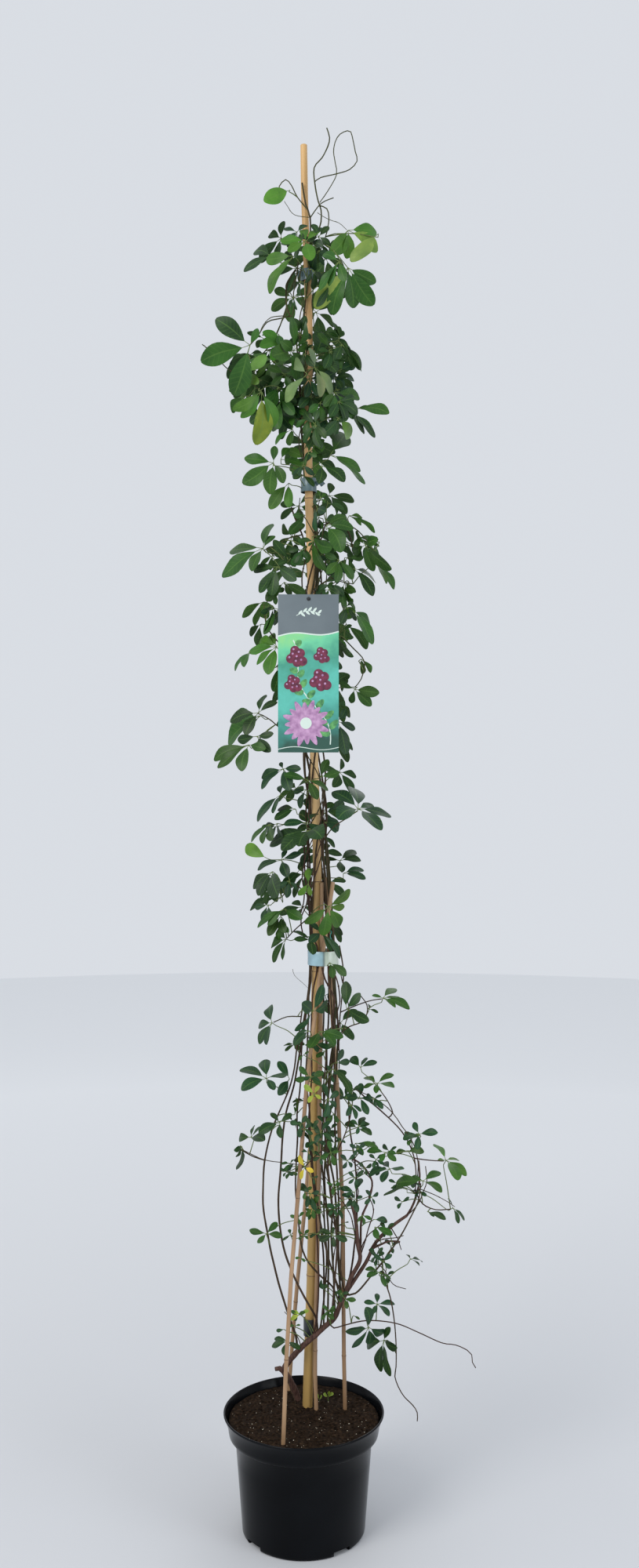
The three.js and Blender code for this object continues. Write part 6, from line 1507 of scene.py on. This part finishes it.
def on_plane(seen, hub, normal):
    """Where the line of sight through a seen place meets the plane of a leaf, if it isn't edge-on."""
    sight = place(seen, 0) - EYE
    slant = sight.dot(normal)
    if abs(slant) < 0.18 * sight.length:
        return None
    return EYE + sight * ((hub - EYE).dot(normal) / slant)


def facings():
    """The ways a leaf may face."""
    out = []
    for turn in range(-180, 180, 30):
        for tilt in (-20, 10, 35, 60):
            a, b = math.radians(turn), math.radians(tilt)
            out.append(Vector((math.sin(a) * math.cos(b), -math.cos(a) * math.cos(b), math.sin(b))))
    return out


FACINGS = facings()


def turn_of(hub, normal, tip):
    """The angle of a tip round the hub, in the plane of the leaf."""
    across = normal.orthogonal().normalized()
    up = normal.cross(across)
    return math.atan2((tip - hub).dot(up), (tip - hub).dot(across))


def cost_of(hub, normal, tips, outward):
    """How unlikely a facing is: leaflets of unlike or great length, or close together, or a leaf
    with its back to the light or its face to the stem."""
    reaches = [(tip - hub).length for tip in tips]
    mean = sum(reaches) / len(reaches)
    if max(reaches) > LONGEST_LEAFLET:
        return None
    cost = sum(abs(reach / mean - 1) for reach in reaches) / len(reaches) + mean / 0.26
    turns = sorted(turn_of(hub, normal, tip) for tip in tips)
    gaps = [(b - a) % (2 * math.pi) for a, b in zip(turns, turns[1:] + turns[:1])]
    if len(tips) > 1:
        cost += sum(max(0, 0.85 - gap) * 0.9 for gap in gaps)
    behind = outward.dot(normal)
    if behind < 0.12:
        cost += 4 * (0.12 - behind) + 1
    return cost


def best_facing(hub, seen_tips, root):
    """The facing and the tips of the likeliest leaf that is seen with these tips."""
    best = None
    away = Vector((hub.x - root.x, hub.y - root.y, 0))
    liking = away.normalized() * 0.6 + Vector((0, -0.5, 0.5))
    for normal in FACINGS:
        tips = [on_plane(seen, hub, normal) for seen in seen_tips]
        if None in tips:
            continue
        cost = cost_of(hub, normal, tips, -(root - hub).normalized())
        if cost is None:
            continue
        cost -= 0.25 * normal.dot(liking)
        if best is None or cost < best[0]:
            best = (cost, normal, tips)
    return best[1:]


def tree_of(node):
    """The corners of a node's solid, for finding its leaves again."""
    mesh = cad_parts[node].data
    tree = kdtree.KDTree(len(mesh.vertices))
    for i, vertex in enumerate(mesh.vertices):
        tree.insert(vertex.co, i)
    tree.balance()
    return tree


def find_leaf(tree, seen_hub, depth, seen_tips):
    """The hub, facing and tips of a leaf of the solid, or None. Its sheet has a corner at half its
    thickness from the hub, and the solid may have it a little nearer or farther."""
    for shift in DEPTH_SHIFTS:
        hub = place(seen_hub, depth + shift)
        for corner, _, distance in tree.find_range(hub, HALF_SHEET[1]):
            if distance < HALF_SHEET[0]:
                continue
            normal = (corner - hub).normalized()
            tips = [on_plane(seen, hub, normal) for seen in seen_tips]
            if None in tips:
                continue
            off = [tree.find(tip)[2] for tip in tips]
            if sum(value < TIP_OFF for value in off) * 2 > len(off):
                return hub, normal, tips
    return None


def roll_to_eye(hub, forward, flat, face):
    """The angle that turns an edge-on blade part of the way towards the eye."""
    sight = EYE - hub
    sight -= forward * sight.dot(forward)
    if sight.length < 0.3:
        return 0.0
    angle = math.atan2(-sight.dot(flat), sight.dot(face))
    if abs(angle) > math.pi / 2:
        angle -= math.copysign(math.pi, angle)
    share = 0.5 if hub.z > 1 else 0.2
    return share * max(abs(angle) - 0.7, 0) * math.copysign(1, angle)


def leaflet(shape, hub, tip, normal, half_width, tint, rng):
    """One leaflet: a blade widest past its middle with a rounded, notched tip, arched along its
    midrib and waved at its edges. Gives back the line of its short stalk."""
    reach = (tip - hub).length
    forward = (tip - hub).normalized()
    roll = rng.uniform(-0.32, 0.32)
    flat = normal.cross(forward).normalized()
    roll += roll_to_eye(hub, forward, flat, forward.cross(flat))
    across = flat * math.cos(roll) + normal * math.sin(roll)
    up = forward.cross(across).normalized()
    wave = rng.uniform(0, 6.28)
    strength = rng.uniform(0.4, 1.1)
    fold = rng.uniform(0.04, 0.24)
    bend = rng.uniform(-0.10, 0.05)
    swerve = rng.uniform(-0.06, 0.06)
    rows, columns = 12, 3
    grid = []
    for i in range(rows + 1):
        t = math.sin(0.5 * math.pi * i / rows)
        s = STALKLET + (1 - STALKLET) * t
        width = half_width * max(math.sin(math.pi * min(t, 0.9999) ** 1.32), 0) ** 0.60
        if i == 0:
            width = 0.0006
        if i == rows:
            width = half_width * 0.16
        lift = 0.36 * reach * s * (1 - s) + bend * reach * s * s * math.sin(math.pi * min(s, 0.96))
        line = []
        for j in range(-columns, columns + 1):
            u = j / columns
            notch = -0.028 * reach * (1 - abs(u)) if i == rows else 0
            ripple = 0.026 * reach * strength * u * u * math.sin(7 * t + wave + (1.7 if u > 0 else 0))
            crease = fold * width * abs(u)
            point = hub + forward * (s * reach + notch) + across * (u * width)
            point += flat * (swerve * reach * math.sin(math.pi * t)) + normal * lift
            point += up * ((crease + ripple) * math.sin(math.pi * min(0.9 * t + 0.05, 1)))
            line.append((point, (u, t)))
        grid.append(line)
    close_blade(shape, grid, up, tint)
    base = sum((point for point, _ in grid[0]), Vector()) / len(grid[0])
    return [hub + normal * 0.0002, base - up * 0.0001]


def close_blade(shape, grid, up, tint):
    """The upper and the under side of a blade, which meet at its edges."""
    for slot in (0, 1):
        indices = []
        for i, line in enumerate(grid):
            row = []
            for j, (point, spot) in enumerate(line):
                on_edge = i in (0, len(grid) - 1) or j in (0, len(line) - 1)
                drop = BLADE_THICKNESS if slot and not on_edge else 0.0
                row.append(shape.corner(point - up * drop, tint, spot))
            indices.append(row)
        for low, high in zip(indices, indices[1:]):
            for j in range(len(low) - 1):
                corners = (low[j], high[j], high[j + 1], low[j + 1])
                shape.face(reversed(corners) if slot else corners, slot)


def grow_leaf(blades, wood, hub, normal, tips, root, tints, rng):
    """A compound leaf: its leaflets with their short stalks, and its long stalk from the root."""
    leaflets = [(turn_of(hub, normal, tip), tip, tint) for tip, tint in zip(tips, tints)]
    leaflets.sort(key=lambda row: row[0])
    for i, (turn, tip, tint) in enumerate(leaflets):
        reach = (tip - hub).length
        half = math.pi
        if len(leaflets) > 1:
            after = (leaflets[(i + 1) % len(leaflets)][0] - turn) % (2 * math.pi)
            before = (turn - leaflets[i - 1][0]) % (2 * math.pi)
            half = min(after, before) / 2
        width = min(0.215 * reach, max(0.16 * reach, 0.9 * reach * math.tan(min(half, 1.0))))
        own = tuple(value * rng.uniform(0.88, 1.12) for value in tint)
        line = leaflet(blades, hub, tip, normal, width, own, rng)
        wood.tube(line, [0.00065, 0.0005], 5, (0.16, 0.22, 0.07), 1)
    span = (root - hub).length
    bow = root.lerp(hub - normal * min(0.012, 0.3 * span), 0.5) + Vector((0, 0, 0.07 * span))
    line = smooth([root, bow, hub - normal * min(0.010, 0.25 * span), hub], 0.008)
    radii = [(1.0 - 0.3 * i / (len(line) - 1)) * MM for i in range(len(line))]
    wood.tube(line, radii, 6, (0.13, 0.17, 0.06), 1)


def root_for(own, hub):
    """The point of the stem that the stalk of a leaf grows from."""
    target = hub + STALK_DROP
    best = None
    for points, _, is_shoot in own:
        point = nearest_on(points[1:], target)
        distance = (point - target).length + (0 if is_shoot else 0.006)
        if (point - hub).length > 0.009 and (best is None or distance < best[0]):
            best = (distance, point)
    return best[1]


def tone_of(seen_hub, hub, outer, rng):
    """A leaf's own tone, or one drawn for its height. In the bush, inner leaves draw darker tones than
    outer ones, as painted shade.
    """
    tone = TONES.get(seen_hub)
    if tone is None:
        if hub.z > BUSH_FOOT:
            # Inner leaves of the bush draw darker tones: painted shade.
            choice = ["mid", "mid", "dark", "fresh"] if outer else ["mid", "dark", "dark", "blue"]
        elif hub.z > LOW_STEMS_TOP:
            choice = ["mid", "blue", "dark", "blue"]
        else:
            choice = ["blue", "blue", "dark", "mid"]
        tone = rng.choice(choice)
    shade = 0.84 if LOW_STEMS_TOP < hub.z < BUSH_FOOT else 1.0
    return tuple(shade * value * rng.uniform(0.9, 1.1) for value in TONE_COLORS[tone])


def back_leaf(rng, i, count, low, high, size):
    """The hub, facing and tips of one leaf on the far side."""
    z = low + (high - low) * (i + rng.uniform(0.2, 0.8)) / count
    turn = math.radians(90 + (38 if i % 2 else -38) + rng.uniform(-30, 30))
    reach = rng.uniform(0.042, 0.092) * (0.75 if z < LOW_STEMS_TOP else 1)
    hub = cane_at(z / MM) + Vector((reach * 0.62 * math.cos(turn), reach * math.sin(turn), 0))
    outward = Vector((math.cos(turn), math.sin(turn), 0))
    lean = Vector((rng.uniform(-0.4, 0.4), rng.uniform(-0.2, 0.3), rng.uniform(0.3, 0.8)))
    normal = (outward * 0.75 + lean).normalized()
    down = (Vector((0, 0, -1)) + normal * normal.z).normalized()
    across = normal.cross(down)
    first = rng.uniform(-0.5, 0.5)
    tips = []
    for share in (-2, -1, 0, 1, 2) if z > LOW_STEMS_TOP or i % 2 else (-1.3, 0, 1.3):
        angle = first + share * 1.02 + rng.uniform(-0.14, 0.14)
        length = size * rng.uniform(0.8, 1.15) * (1 - 0.09 * abs(share))
        tips.append(hub + length * (down * math.cos(angle) + across * math.sin(angle)))
    return hub, normal, tips


def back_leaves(chains):
    """Leaves on the far side, spread by height, by the node of the nearest stem."""
    rng = random.Random(77)
    out = {name: [] for name in chains}
    for count, low, high, size in BACK_LEAVES:
        for i in range(count):
            leaf = back_leaf(rng, i, count, low, high, size)
            target = leaf[0] + STALK_DROP
            far = {name: (nearest_on(own[0][0], target) - target).length for name, own in chains.items()}
            del far["trunk"]
            out[min(far, key=far.get)].append(leaf)
    return out


def draw_chains(name, own, wood, rng):
    """The stem and its side shoots. Only the thick parts of the trunk have bark."""
    for points, ends, is_shoot in own:
        radii = chain_radii(points, ends)
        woody = name == "trunk" and ends[0] > 1.9
        for i, point in enumerate(points):
            if not (woody or is_shoot) and point.z < LOW_STEMS_TOP:
                radii[i] *= 0.84
            rough = 0.10 * noise.noise(point * 220) if woody else 0.0
            radii[i] *= 1 + 0.10 * noise.noise(point * 90) + rough
        middle = points[len(points) // 2]
        tint = (1, 1, 1) if woody else stem_tint(middle.z, ends, rng.uniform(0, 0.35))
        wood.tube(points, radii, 12 if woody else 7, tint, 0 if woody else 1)


def leaf_rows(name):
    """The leaves of a stem: whether the solid has it, and its hub, depth and tips as they are seen."""
    for table in (LEAVES, MORE_LEAVES):
        for x, z, depth, *steps in table.get(name, []):
            tips = [(x + right, z + up) for right, up in zip(steps[::2], steps[1::2])]
            yield table is LEAVES, (x, z), depth, tips


def seen_leaves(name, own, rng):
    """Hub, facing, tips, root and a tint for each leaflet, for each leaf that is seen."""
    tree = tree_of(name)
    for in_solid, seen_hub, depth, seen_tips in leaf_rows(name):
        found = find_leaf(tree, seen_hub, depth, seen_tips) if in_solid else None
        if found:
            hub, normal, tips = found
            root = root_for(own, hub)
        else:
            hub = place(seen_hub, depth)
            root = root_for(own, hub)
            normal, tips = best_facing(hub, seen_tips, root)
        tint = tone_of(seen_hub, hub, in_solid, rng)
        tints = [TONE_COLORS[TONES[seen]] if seen in TONES else tint for seen in seen_tips]
        yield hub, normal, tips, root, tints


def make_plant():
    """Each stem with its side shoots and stalks in one piece, and its leaflets in another."""
    chains = grow_chains()
    behind = back_leaves(chains)
    for name, own in chains.items():
        rng = random.Random("leaves of " + name)
        wood, blades = Shape(), Shape()
        draw_chains(name, own, wood, rng)
        for leaf in seen_leaves(name, own, rng):
            grow_leaf(blades, wood, *leaf, rng)
        for hub, normal, tips in behind[name]:
            # In the bush, leaves on the far side draw the darker tones of inner leaves: painted shade.
            tints = [tone_of(None, hub, False, rng)] * len(tips)
            grow_leaf(blades, wood, hub, normal, tips, root_for(own, hub), tints, rng)
        wood.piece(name + "_wood", [BARK, SHOOT], "bark" if name == "trunk" else "foliage", [name])
        blades.piece(name + "_blades", [LEAF_TOP, LEAF_UNDER], "foliage", [name])


# Room

def floor_material():
    """Pale, and paler far away, so that the floor has no hard far edge."""
    made, tree, shader = material("floor_paint", 0.8, specular=0.1)
    coordinates = add(tree, "ShaderNodeTexCoord")
    length = add(tree, "ShaderNodeVectorMath", operation="LENGTH")
    tree.links.new(coordinates.outputs["Object"], length.inputs[0])
    far = maths(tree, "MULTIPLY", length.outputs["Value"], 1 / FLOOR_RADIUS)
    paint(tree, shader, ramp(tree, far, [(0.08, (0.60, 0.61, 0.63)), (0.5, (0.88, 0.89, 0.90))]))
    return made


def make_stage():
    """The floor and the light of the room."""
    mesh = bpy.data.meshes.new("floor")
    mesh.from_pydata([(x, y, 0) for x, y in circle(FLOOR_RADIUS, 64)], [], [tuple(range(64))])
    mesh.materials.append(floor_material())
    link(bpy.data.objects.new("floor", mesh))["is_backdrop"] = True
    world = bpy.data.worlds.new("room")
    bpy.context.scene.world = world
    world.use_nodes = True
    background = world.node_tree.nodes["Background"]
    background.inputs["Color"].default_value = (0.80, 0.835, 0.89, 1)
    background.inputs["Strength"].default_value = 0.87
    bpy.context.scene.view_settings.view_transform = "Standard"


def area_light(name, location, target, size, power, color=(1, 1, 1)):
    data = bpy.data.lights.new(name, "AREA")
    data.shape = "RECTANGLE"
    data.size, data.size_y = size
    data.energy = power
    data.color = color
    light = link(bpy.data.objects.new(name, data))
    light.location = location
    light.rotation_euler = (Vector(target) - Vector(location)).to_track_quat("-Z", "Y").to_euler()


def make_lights():
    area_light("key", (-1.9, -2.2, 2.9), (0, 0, 1.2), (1.6, 2.2), 66, (1.0, 0.98, 0.95))
    area_light("fill", (2.2, -1.6, 1.3), (0, 0, 0.9), (1.2, 2.4), 24, (0.92, 0.96, 1.0))
    area_light("back", (0.6, 2.2, 2.6), (0, 0, 1.2), (1.8, 1.8), 9)


def make_camera():
    data = bpy.data.cameras.new("camera")
    data.lens = 31.18
    camera = link(bpy.data.objects.new("camera", data))
    camera.location = EYE
    camera.rotation_euler = (math.radians(90), 0, 0)
    bpy.context.scene.camera = camera


make_camera()
make_pot()
make_soil()
make_crumbs()
make_canes()
make_straps()
make_tape_ends()
make_string()
make_label()
make_plant()
make_thin_shoots()
make_seedling()
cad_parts["soil"].data.materials.clear()
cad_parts["soil"].data.materials.append(SOIL)
make_stage()
make_lights()

shown_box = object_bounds()
boxes = {"cad": cad_box, "shown": shown_box}
{key: [[float(v) for v in corner] for corner in value] for key, value in boxes.items()}
